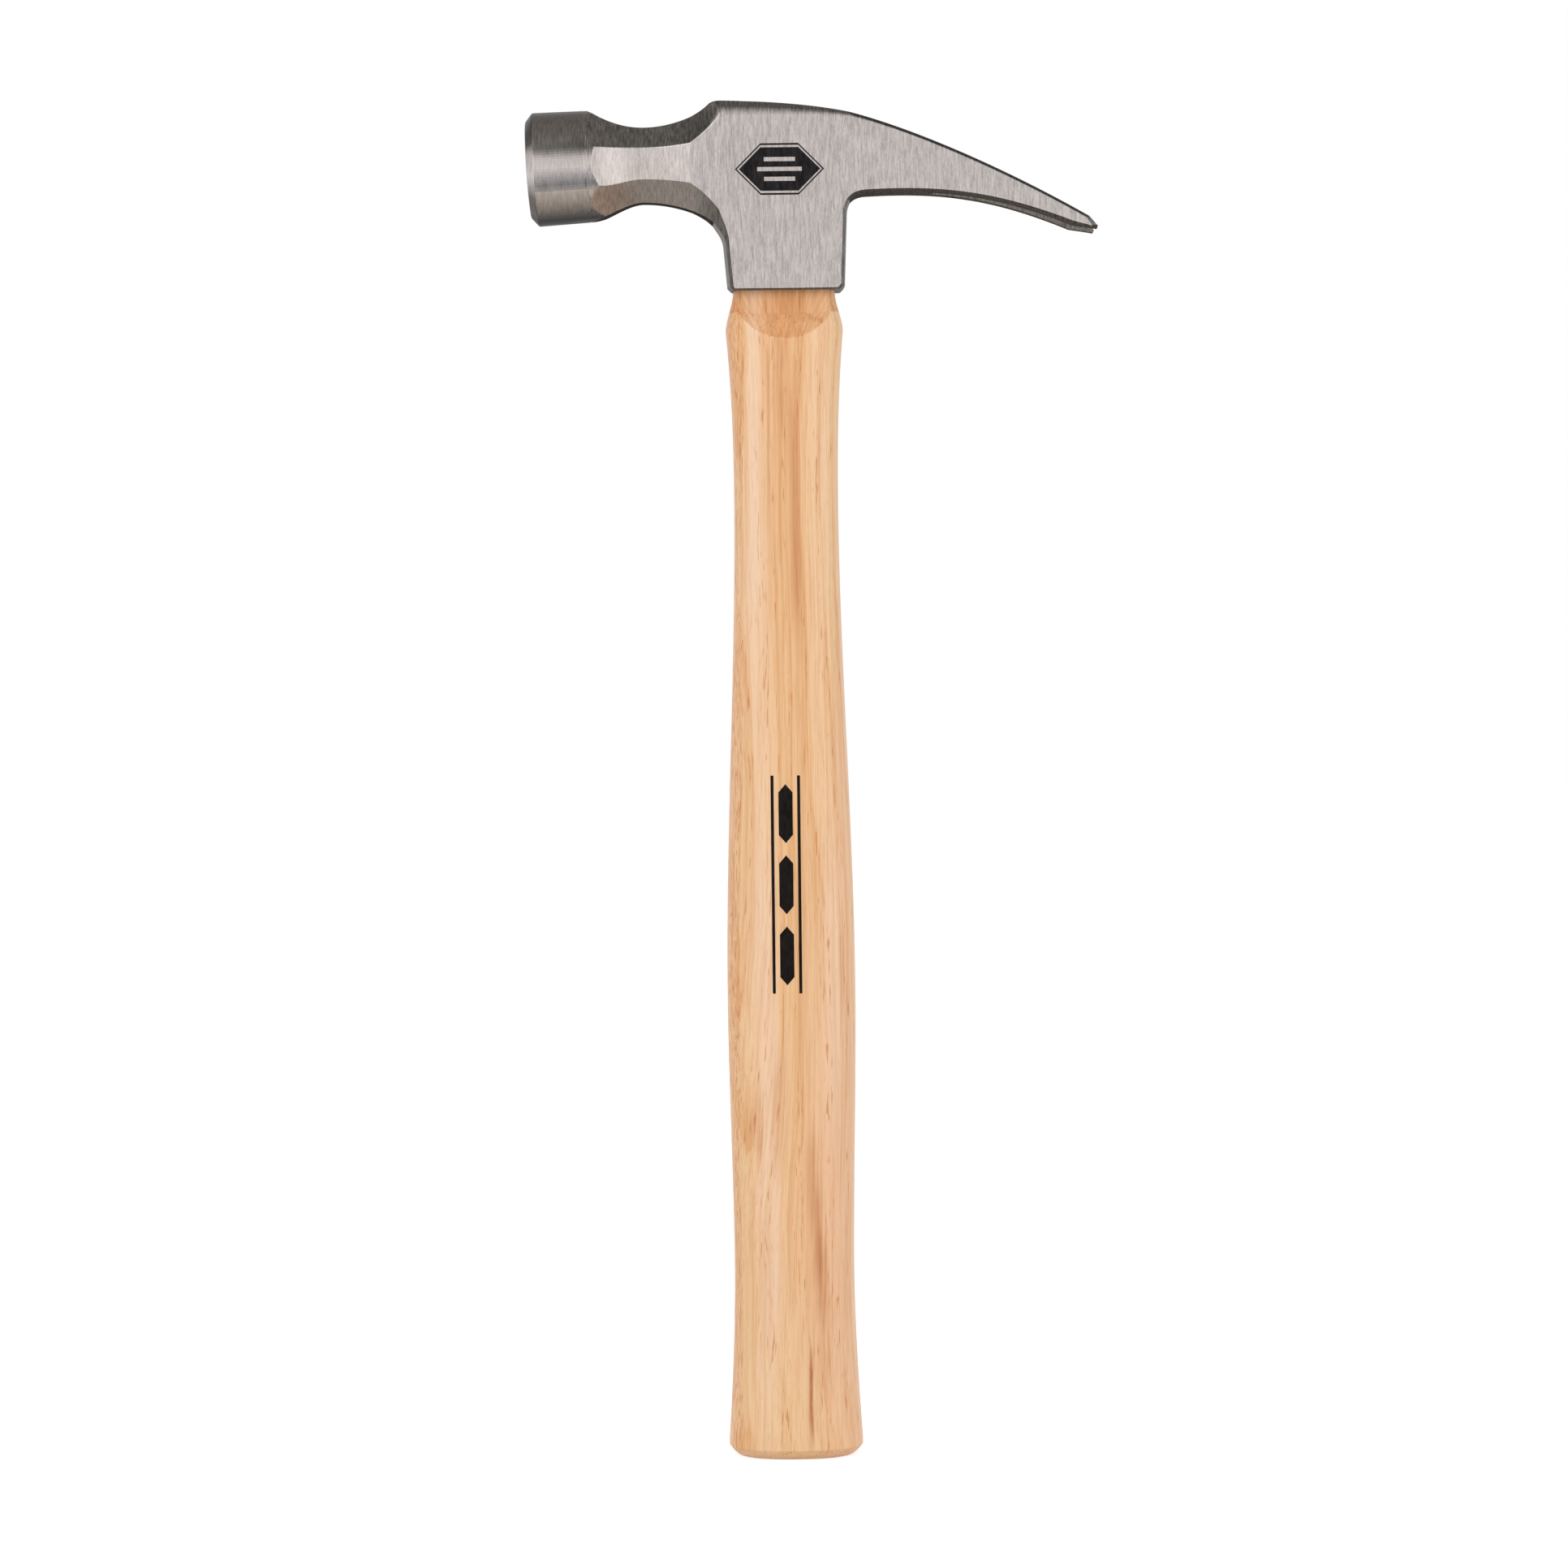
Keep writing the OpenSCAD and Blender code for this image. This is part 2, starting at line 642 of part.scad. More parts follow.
// Bevel round the notch on the underside of the claw, which runs out past its root
module notch_bevels() {
    bevel_steps = 12;
    start_x = notch_root_x - notch_bevel;
    loft([
        for (i = [0 : bevel_steps])
            let (x = mix(start_x, claw_x + over, i / bevel_steps))
            let (low = mouth_z + lookup(x, under_heights))
            let (inner = max(notch_half_under(x), notch_root_w / 2) - (i == 0 ? notch_bevel / 2 : 0))
            let (outer = inner + notch_bevel * (1 + over / notch_bevel_depth))
            [
                [x, -outer, low - over],
                [x, outer, low - over],
                [x, inner, low + notch_bevel_depth],
                [x, -inner, low + notch_bevel_depth]
            ]
    ]);
}

// Ground-off outer corner of one tip
module tip_corner() {
    translate([0, 0, mouth_z])
        linear_extrude(2 * crest_h, center = true)
            polygon([
                [claw_x - corner_len, cheek_y + over],
                [claw_x - corner_len, cheek_y],
                [claw_x, cheek_y - corner_w],
                [claw_x + over, cheek_y - corner_w - corner_w * over / corner_len],
                [claw_x + over, cheek_y + over]
            ]);
}

module head() {
    color("silver")
        difference() {
            union() {
                difference() {
                    forging();
                    neck_trim();
                }
                poll();
            }
            eye();
            notch();
            notch_bevels();
            tip_corner();
            mirror([0, 1, 0])
                tip_corner();
        }
}

// Grip of the handle from the butt to the mouth of the head
module grip() {
    stops = [butt_bevel_h, heel_z, palm_z, waist_z, shoulder_z, mouth_z - fit_gap];
    heights = concat(
        [for (k = [0 : len(stops) - 2], i = [0 : stretch_rings - 1])
            mix(stops[k], stops[k + 1], i / stretch_rings)],
        [mouth_z - fit_gap]
    );
    butt_ring = oval(butt_w - 2 * butt_bevel, butt_t - 2 * butt_bevel, butt_t, butt_oval, 0);
    loft(concat(
        [butt_ring],
        [for (z = heights) oval(grip_w(z), grip_t(z), butt_w, grip_oval(z), z)]
    ));
}

// Tongue that fills the eye, with an end that slopes as the rim does
module tongue() {
    tongue_steps = 10;
    start_h = -scoop_drop / 5;
    last_h = tongue_end_h(eye_top_w / 2);
    top_ring = eye_ring(last_h, fit_gap);
    start_ring = eye_ring(0, fit_gap);
    loft(concat(
        [[for (p = start_ring) p + [0, 0, start_h]]],
        [for (i = [0 : tongue_steps - 1]) eye_ring(last_h * i / tongue_steps, fit_gap)],
        [[for (p = top_ring) [p.x, p.y, mouth_z + tongue_end_h(p.x)]]]
    ));
}

// Round cutter of the ramp on one side of the shoulders
module scoop() {
    translate([-shoulder_w, -eye_mouth_t / 2 + fit_gap - scoop_r, mouth_z])
        rotate([0, 90, 0])
            cylinder(r = scoop_r, h = 2 * shoulder_w, $fn = 128);
}

// Tapered wedge of wood along the eye, grown by a gap where it is the cut for one
module wood_wedge_form(gap) {
    top_h = tongue_end_h(0);
    low_h = top_h - wood_wedge_depth - gap;
    half_top = wood_wedge_top_t / 2 + gap;
    half_tip = wood_wedge_tip_t / 2 + gap;
    rise = gap > 0 ? over : 0;
    spread = (half_top - half_tip) / wood_wedge_depth * rise;
    half_w = wood_wedge_w / 2 + gap;
    slope_h = top_h + rise;
    intersection() {
        translate([-half_w, 0, mouth_z])
            rotate([90, 0, 90])
                linear_extrude(2 * half_w)
                    polygon([
                        [-half_tip, low_h],
                        [-half_top - spread, slope_h + over],
                        [half_top + spread, slope_h + over],
                        [half_tip, low_h]
                    ]);
        translate([0, wood_wedge_w, mouth_z])
            rotate([90, 0, 0])
                linear_extrude(2 * wood_wedge_w)
                    polygon([
                        [-wood_wedge_w, 0],
                        [-wood_wedge_w, tongue_end_h(-wood_wedge_w) + rise],
                        [wood_wedge_w, tongue_end_h(wood_wedge_w) + rise],
                        [wood_wedge_w, 0]
                    ]);
    }
}

// Half thickness of a steel wedge at a share of its depth, with the step that its barb adds
function steel_half(share, barb) = mix(steel_wedge_top_t, steel_wedge_tip_t, share) / 2 - barb;

// Stepped steel wedge across the eye, grown by a gap where it is the cut for one
module steel_wedge_form(x, gap) {
    top_h = tongue_end_h(x) - tongue_sink / 2;
    side = [
        for (i = [0 : steel_wedge_steps - 1])
            each [
                [steel_half(i / steel_wedge_steps, 0) + gap, -steel_wedge_depth * i / steel_wedge_steps],
                [
                    steel_half((i + 1) / steel_wedge_steps, steel_wedge_barb) + gap,
                    -steel_wedge_depth * (i + 1) / steel_wedge_steps
                ]
            ]
    ];
    rise = gap > 0 ? [[side[0].x, over]] : [];
    fall = gap > 0 ? [side[len(side) - 1] - [0, gap]] : [];
    right = concat(rise, side, fall);
    left = [for (i = [len(right) - 1 : -1 : 0]) [-right[i].x, right[i].y]];
    translate([x, steel_wedge_w / 2 + gap, mouth_z + top_h])
        rotate([90, 0, 0])
            linear_extrude(steel_wedge_w + 2 * gap)
                polygon(concat(right, left));
}

module handle() {
    color("burlywood")
        difference() {
            union() {
                difference() {
                    grip();
                    scoop();
                    mirror([0, 1, 0])
                        scoop();
                }
                tongue();
            }
            wood_wedge_form(fit_gap);
            steel_wedge_form(-steel_wedge_spacing / 2, fit_gap);
            steel_wedge_form(steel_wedge_spacing / 2, fit_gap);
        }
}

module wooden_wedge() {
    color("tan")
        difference() {
            wood_wedge_form(0);
            steel_wedge_form(-steel_wedge_spacing / 2, fit_gap);
            steel_wedge_form(steel_wedge_spacing / 2, fit_gap);
        }
}

module steel_wedge_face_side() {
    color("gray")
        steel_wedge_form(-steel_wedge_spacing / 2, 0);
}

module steel_wedge_claw_side() {
    color("gray")
        steel_wedge_form(steel_wedge_spacing / 2, 0);
}

head();
handle();
wooden_wedge();
steel_wedge_face_side();
steel_wedge_claw_side();
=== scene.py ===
import json
import math

import bpy
import bmesh
import numpy as np
from mathutils import Matrix, Vector

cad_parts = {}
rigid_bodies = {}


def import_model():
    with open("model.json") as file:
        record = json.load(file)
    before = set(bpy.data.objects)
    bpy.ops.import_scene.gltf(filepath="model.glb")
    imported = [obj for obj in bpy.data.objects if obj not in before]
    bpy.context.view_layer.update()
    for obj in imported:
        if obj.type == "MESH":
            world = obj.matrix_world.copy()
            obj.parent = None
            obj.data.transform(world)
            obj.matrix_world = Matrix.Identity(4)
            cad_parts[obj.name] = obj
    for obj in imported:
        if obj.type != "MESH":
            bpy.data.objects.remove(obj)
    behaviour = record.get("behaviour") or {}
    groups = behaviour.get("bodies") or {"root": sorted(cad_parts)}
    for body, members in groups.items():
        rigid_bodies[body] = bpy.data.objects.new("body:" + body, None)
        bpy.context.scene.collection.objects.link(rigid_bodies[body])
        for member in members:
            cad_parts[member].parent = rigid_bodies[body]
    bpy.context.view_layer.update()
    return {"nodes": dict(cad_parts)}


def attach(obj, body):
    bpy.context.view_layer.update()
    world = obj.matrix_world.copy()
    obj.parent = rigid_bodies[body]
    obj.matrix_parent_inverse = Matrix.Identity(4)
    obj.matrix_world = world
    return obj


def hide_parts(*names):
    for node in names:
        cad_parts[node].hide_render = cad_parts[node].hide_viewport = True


for item in list(bpy.data.objects):   # the start-up cube, lamp and camera
    bpy.data.objects.remove(item, do_unlink=True)

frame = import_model()
print("frame loaded")

mm = 0.001   # the sizes below are in millimetres, the scene is in metres
edgeAngle = 32   # edges that turn more than this many degrees stay sharp


def even(steps):
    # 0 up to but without 1, in equal steps
    return np.arange(steps) / steps


def blend(a, b, t):
    # straight line from a to b
    return a + (b - a) * t


def share(value, start, end):
    # how far the value is on its way from start to end, held between 0 and 1
    return np.clip((value - start) / (end - start), 0, 1)


def ease(t):
    # slow at both ends: three t squared less two t cubed
    return t * t * (3 - 2 * t)


def curveThrough(start, end, first, last, t):
    # cubic curve whose two handles are shares of its run and of its rise; thickness runs straight
    reach = end - start
    firstHandle = start + reach * np.array([*first, 1 / 3])
    lastHandle = end - reach * np.array([*last, 1 / 3])
    t = t[:, None, None]
    u = 1 - t
    return u ** 3 * start + 3 * u * u * t * firstHandle + 3 * u * t * t * lastHandle + t ** 3 * end


def roundRings(rings, radii, sideSteps, guard):
    # each corner of each ring becomes a short parabola between points a radius away on its two
    # sides, with a guard point beyond each, and each side gets evenly spaced points between
    toBefore, toAfter = np.roll(rings, 1, axis=1) - rings, np.roll(rings, -1, axis=1) - rings
    before = np.maximum(np.linalg.norm(toBefore, axis=2, keepdims=True), 1e-9)
    after = np.maximum(np.linalg.norm(toAfter, axis=2, keepdims=True), 1e-9)
    shortest = np.minimum(before, after)
    radius = np.minimum(radii[..., None], 0.3 * shortest)
    far = np.minimum(radius + guard, 0.42 * shortest)
    first, last = rings + toBefore / before * radius, rings + toAfter / after * radius
    guardFirst, guardLast = rings + toBefore / before * far, rings + toAfter / after * far
    nextGuard = np.roll(guardFirst, -1, axis=1)
    columns = [guardFirst, first, 0.25 * first + 0.5 * rings + 0.25 * last, last, guardLast]
    for step in range(1, sideSteps + 1):
        columns.append(blend(guardLast, nextGuard, step / (sideSteps + 1)))
    return np.stack(columns, axis=2).reshape(len(rings), -1, 3)


def roundPath(points, radius, cuts):
    # an open path in a plane: each inner corner becomes a parabola of that radius
    points = np.asarray(points, float)
    path = [points[0]]
    for before, corner, after in zip(points, points[1:], points[2:]):
        back, ahead = before - corner, after - corner
        lengthBack, lengthAhead = np.linalg.norm(back), np.linalg.norm(ahead)
        reach = min(radius, 0.4 * lengthBack, 0.4 * lengthAhead)
        first, last = corner + back / lengthBack * reach, corner + ahead / lengthAhead * reach
        for t in np.linspace(0, 1, cuts):
            path.append((1 - t) ** 2 * first + 2 * (1 - t) * t * corner + t * t * last)
    return np.array(path + [points[-1]])


def makeMesh(name, points, faces):
    mesh = bpy.data.meshes.new(name)
    mesh.from_pydata((points.reshape(-1, 3) * mm).tolist(), [], faces)
    mesh.update()
    return mesh


def skin(name, rings):
    # quads between neighbouring rings, and a flat face over each end
    index = np.arange(rings.shape[0] * rings.shape[1]).reshape(rings.shape[:2])
    right = np.roll(index, -1, axis=1)
    quads = np.stack([index[:-1], right[:-1], right[1:], index[1:]], axis=-1).reshape(-1, 4)
    return makeMesh(name, rings, quads.tolist() + [index[0][::-1].tolist(), index[-1].tolist()])


def addPiece(name, mesh):
    piece = bpy.data.objects.new(name, mesh)
    bpy.context.scene.collection.objects.link(piece)
    return piece


def faceOutward(mesh):
    # doubles merged, then normals recalculated
    work = bmesh.new()
    work.from_mesh(mesh)
    bmesh.ops.remove_doubles(work, verts=work.verts, dist=1e-7)
    bmesh.ops.recalc_face_normals(work, faces=work.faces)
    work.to_mesh(mesh)
    work.free()


def paintCorners(mesh, name, values):
    # one colour for each corner of each face
    layer = mesh.attributes.new(name, "FLOAT_COLOR", "CORNER")
    full = np.concatenate([values, np.ones((len(values), 1))], axis=1)
    layer.data.foreach_set("color", full.ravel().astype(np.float32))


def paint(mesh, name, faceValues):
    # one colour for each face, or for all of them, kept on the face's corners
    totals = np.empty(len(mesh.polygons), dtype=np.int32)
    mesh.polygons.foreach_get("loop_total", totals)
    values = np.broadcast_to(np.asarray(faceValues, float), (len(totals), 3))
    paintCorners(mesh, name, np.repeat(values, totals, axis=0))


def addCutter(name, rings, paints):
    # a closed shape that is cut out of a piece and leaves its paint on the walls
    mesh = skin(name, rings)
    faceOutward(mesh)
    for layer, values in paints.items():
        paint(mesh, layer, values)
    return addPiece(name, mesh)


def cutAway(piece, cutters):
    # the piece less its cutters
    for cutter in cutters:
        step = piece.modifiers.new("cut", "BOOLEAN")
        step.operation = "DIFFERENCE"
        step.solver = "EXACT"
        step.object = cutter
    seen = bpy.context.evaluated_depsgraph_get()
    mesh = bpy.data.meshes.new_from_object(piece.evaluated_get(seen))
    piece.modifiers.clear()
    piece.data = mesh
    for cutter in cutters:
        bpy.data.objects.remove(cutter, do_unlink=True)


def joinPieces(first, *others):
    # the others become part of the first
    with bpy.context.temp_override(active_object=first, selected_editable_objects=[first, *others]):
        bpy.ops.object.join()


def finishPiece(piece, material):
    piece.data.shade_smooth()
    piece.data.set_sharp_from_angle(angle=math.radians(edgeAngle))
    dress(piece, material)


def dress(piece, material):
    piece.data.materials.clear()
    piece.data.materials.append(material)


def linear(red, green, blue):
    # a screen colour from 0 to 255 as the light value that shows it
    shown = np.array([red, green, blue]) / 255
    return np.where(shown <= 0.04045, shown / 12.92, ((shown + 0.055) / 1.055) ** 2.4)


def newMaterial(name):
    material = bpy.data.materials.new(name)
    material.use_nodes = True
    material.node_tree.nodes.clear()
    return material, material.node_tree


def addNode(tree, kind, inputs=None, **settings):
    # each input is another node's output or a value; a colour is given as three numbers
    node = tree.nodes.new("ShaderNode" + kind)
    for key, value in settings.items():
        setattr(node, key, value)
    for key, value in (inputs or {}).items():
        socket = node.inputs[key]
        if isinstance(value, bpy.types.NodeSocket):
            tree.links.new(value, socket)
        else:
            socket.default_value = (*value, 1) if socket.type == "RGBA" else value
    return node


def objectPlace(tree):
    return addNode(tree, "TexCoord").outputs["Object"]


def makeVector(tree, x, y=0.0, z=0.0):
    return addNode(tree, "CombineXYZ", {"X": x, "Y": y, "Z": z}).outputs[0]


def noiseAt(tree, place, perMetre, detail=2.0, roughness=0.5):
    # noise whose grains are 1 / perMetre long along each axis
    mapped = addNode(tree, "Mapping", {"Vector": place, "Scale": perMetre}).outputs["Vector"]
    inputs = {"Vector": mapped, "Scale": 1.0, "Detail": detail, "Roughness": roughness}
    return addNode(tree, "TexNoise", inputs).outputs["Fac"]


def noises(tree, place, finish, *names):
    # several noises at one place, whose numbers stand in a finish's dictionary
    return [noiseAt(tree, place, *finish[name]) for name in names]


def remap(tree, value, low, high, newLow=0.0, newHigh=1.0):
    # low to high becomes newLow to newHigh, and is held there beyond
    ranges = {"From Min": low, "From Max": high, "To Min": newLow, "To Max": newHigh}
    return addNode(tree, "MapRange", {"Value": value, **ranges}).outputs["Result"]


def calc(tree, operation, first, second=0.0, third=0.0):
    return addNode(tree, "Math", {0: first, 1: second, 2: third}, operation=operation).outputs[0]


def times(tree, first, second):
    return calc(tree, "MULTIPLY", first, second)


def timesPlus(tree, first, second, third):
    return calc(tree, "MULTIPLY_ADD", first, second, third)


def plus(tree, first, second):
    return calc(tree, "ADD", first, second)


def minus(tree, first, second):
    return calc(tree, "SUBTRACT", first, second)


def mixTone(tree, amount, first, second, blendType="MIX"):
    values = {0: amount, 6: first, 7: second}
    return addNode(tree, "Mix", values, data_type="RGBA", blend_type=blendType).outputs[2]


def dye(tree, tone, colour):
    # a tone times a fixed colour
    return mixTone(tree, 1.0, tone, colour, "MULTIPLY")


def scaleTone(tree, tone, factor):
    # a tone times a number that changes over the surface
    return addNode(tree, "VectorMath", {0: tone, "Scale": factor}, operation="SCALE").outputs[0]


def toneRamp(tree, value, stops):
    # each stop is a place and a tone, or one number for a grey
    ramp = addNode(tree, "ValToRGB", {"Fac": value})
    elements = ramp.color_ramp.elements
    while len(elements) < len(stops):
        elements.new(0.5)
    for element, (place, colour) in zip(elements, stops):
        element.position = place
        element.color = (*np.broadcast_to(np.asarray(colour, float), 3), 1)
    return ramp.outputs["Color"]


def finishSurface(tree, inputs, bumps):
    # principled shader with stacked bumps, each a height, a strength and a distance
    stacked = {}
    for height, strength, distance in bumps:
        values = {"Height": height, "Strength": strength, "Distance": distance, **stacked}
        stacked = {"Normal": addNode(tree, "Bump", values).outputs["Normal"]}
    shader = addNode(tree, "BsdfPrincipled", {**inputs, **stacked})
    addNode(tree, "OutputMaterial", {"Surface": shader.outputs["BSDF"]})


steelFinish = {
    # noises: grains per metre along x, y and z, then detail and roughness
    "wave": ((140, 140, 260), 1.0), "brush": ((2500, 420, 250), 1.0), "fine": ((4600, 4600, 900), 1.0),
    "coarse": ((900, 300, 80), 2.0, 0.55), "cloud": ((90, 90, 90),), "cloudTone": (1.03, 0.985, 0.985),
    "sway": 0.4 * mm, "brushDepth": 0.015 * mm, "coarseDepth": 0.02 * mm,
    # the marks show more on the dark facets: strength at a dark and at a light tone
    "darkLevel": 0.1, "lightLevel": 0.42, "darkMarks": 0.88, "lightMarks": 0.34,
}


def makeForgedSteel():
    # the paint on the corners gives tone, with painted reflection and shade in it, roughness, bareness and
    # calm; brush marks run along the handle
    material, tree = newMaterial("forgedSteel")
    s = steelFinish
    place = objectPlace(tree)
    toneNode = addNode(tree, "Attribute", attribute_name="steelTone")
    tone, level = toneNode.outputs["Color"], toneNode.outputs["Fac"]
    finish = addNode(tree, "Attribute", attribute_name="steelFinish").outputs["Vector"]
    rough, bare, calm = addNode(tree, "SeparateXYZ", {"Vector": finish}).outputs
    lively = minus(tree, 1, calm)
    wave, cloud = noises(tree, place, s, "wave", "cloud")
    shift = makeVector(tree, times(tree, wave, s["sway"]))
    bent = addNode(tree, "VectorMath", {0: place, 1: shift}, operation="ADD").outputs[0]
    brush, fine, coarse = noises(tree, bent, s, "brush", "fine", "coarse")
    marks = plus(tree, remap(tree, brush, 0.25, 0.75, -0.6, 0.6), remap(tree, fine, 0.25, 0.75, -0.4, 0.4))
    strength = remap(tree, level, s["darkLevel"], s["lightLevel"], s["darkMarks"], s["lightMarks"])
    marks = times(tree, times(tree, marks, strength), lively)
    shade = scaleTone(tree, tone, plus(tree, marks, remap(tree, coarse, 0.3, 0.7, 0.975, 1.025)))
    tinted = mixTone(tree, remap(tree, cloud, 0.35, 0.65, 0.0, 0.5), shade, dye(tree, shade, s["cloudTone"]))
    finishSurface(tree, {
        "Base Color": tinted, "Metallic": bare, "Specular IOR Level": times(tree, bare, 0.5),
        "Roughness": plus(tree, rough, remap(tree, brush, 0.3, 0.7, -0.04, 0.06)),
    }, [(coarse, 0.25, s["coarseDepth"]), (times(tree, brush, lively), 0.35, s["brushDepth"])])
    return material


hickoryFinish = {
    # growth rings round a leaning pith, and the noises that move them: grains per metre, and how far
    "pithX": 10 * mm, "pithY": 22 * mm, "leanX": -0.008, "leanY": 0.014, "ringWidth": 3.1 * mm,
    "ringNoises": [((26, 26, 7), 3.5 * mm), ((200, 200, 16), 0.9 * mm), ((1800, 1800, 45), 0.5 * mm)],
    # the grain sways to both sides with height, and below the middle its left side leans over to the right
    "sway": 5 * mm, "swayGrain": (50, 50, 12),
    "swirlLow": 70 * mm, "swirlHigh": 165 * mm, "swirl": 9 * mm, "swirlRight": 8 * mm, "swirlLeft": -6 * mm,
    # noises: grains per metre along x, y and z, then detail and roughness
    "fibre": ((1900, 1900, 36), 3.0, 0.65), "wide": ((800, 800, 11),), "tint": ((55, 55, 5),),
    "poreGrain": ((1700, 1700, 130), 1.0), "finePore": ((2600, 2600, 240), 1.0),
    "cutFibre": ((26, 300, 70), 3.0, 0.6),
    "tones": {
        "pale": (244, 202, 155), "honey": (239, 191, 140), "porous": (231, 174, 119), "pore": (205, 125, 64),
        "blush": (244, 196, 158), "amber": (231, 175, 121), "light": (249, 214, 183), "brown": (184, 108, 62),
        "streak": (216, 154, 104), "straw": (244, 207, 160),
    },
    "redder": (0.92, 0.74, 0.55), "rawTone": (0.9, 0.78, 0.68),
    # the cut fibres of the scoops fan out from this height
    "fanZ": 322 * mm,
    # the side towards the face is pored as far as a line: its x at the butt, and its lean
    "stripX": -16.8 * mm, "stripLean": 0.013, "stripEdge": 0.2 * mm, "fray": 1.6 * mm,
    "fibreDepth": 0.03 * mm, "coat": 0.15, "coatRough": 0.3,
    # stripes in the wood: x, lowest z, highest z, half width, how strong, tone; lengths in mm
    "stripes": [
        (-8, -60, 250, 4.8, 0.85, "light"), (-9.2, 205, 420, 3.4, 1.0, "light"),
        (0.9, 190, 420, 7.5, 0.75, "amber"), (2.0, 70, 240, 6.5, 0.5, "amber"),
        (1.5, -60, 110, 5.5, 0.6, "honey"), (10.4, 225, 360, 4.4, 0.35, "light"),
        (13, -20, 240, 5.0, 0.6, "blush"), (12.4, 90, 192, 3.2, 0.7, "light"),
        (-2, -60, 46, 16, 0.75, "straw"),
        (3, 238, 332, 2.0, 1.2, "streak"), (-4.8, 262, 344, 0.8, 0.7, "streak"),
        (-1.2, 300, 340, 1.6, 0.8, "streak"), (-1.9, 256, 310, 0.6, 0.6, "streak"),
        (5.6, 64, 104, 2.4, 0.7, "streak"), (7.0, 50, 88, 2.4, 0.9, "streak"),
        (8.2, 38, 70, 2.8, 0.8, "streak"), (7.6, 50, 74, 1.2, 0.5, "brown"),
        (9.6, 14, 56, 3.4, 0.5, "streak"), (5.4, 2, 38, 0.9, 1.2, "brown"),
        (-4.8, 80, 130, 3.2, 0.5, "streak"), (-11, 86, 114, 1.4, 0.7, "streak"),
        (15, 130, 168, 1.2, 0.6, "streak"),
    ],
}


def stripeMask(tree, x, z, middleX, low, high, halfWidth, strength):
    # strong along a line up the handle, fading towards its sides and its ends
    away = calc(tree, "ABSOLUTE", minus(tree, x, middleX * mm))
    acrossIt = remap(tree, away, halfWidth * mm, 0.3 * halfWidth * mm)
    middle, half = (low + high) / 2 * mm, (high - low) / 2 * mm
    alongIt = remap(tree, calc(tree, "ABSOLUTE", minus(tree, z, middle)), half, 0.4 * half)
    return times(tree, times(tree, acrossIt, alongIt), strength)


def ringPlace(tree, place):
    # 0 to 1 across each growth ring: the distance to a leaning pith, disturbed, over the ring's width
    wood = hickoryFinish
    parts = addNode(tree, "SeparateXYZ", {"Vector": place}).outputs

    def fromPith(axis):
        return minus(tree, timesPlus(tree, parts["Z"], wood["lean" + axis], parts[axis]), wood["pith" + axis])

    x, y = fromPith("X"), fromPith("Y")
    distance = calc(tree, "SQRT", timesPlus(tree, x, x, times(tree, y, y)))
    for perMetre, size in wood["ringNoises"]:
        distance = timesPlus(tree, noiseAt(tree, place, perMetre), size, distance)
    return calc(tree, "FRACT", calc(tree, "DIVIDE", distance, wood["ringWidth"]))


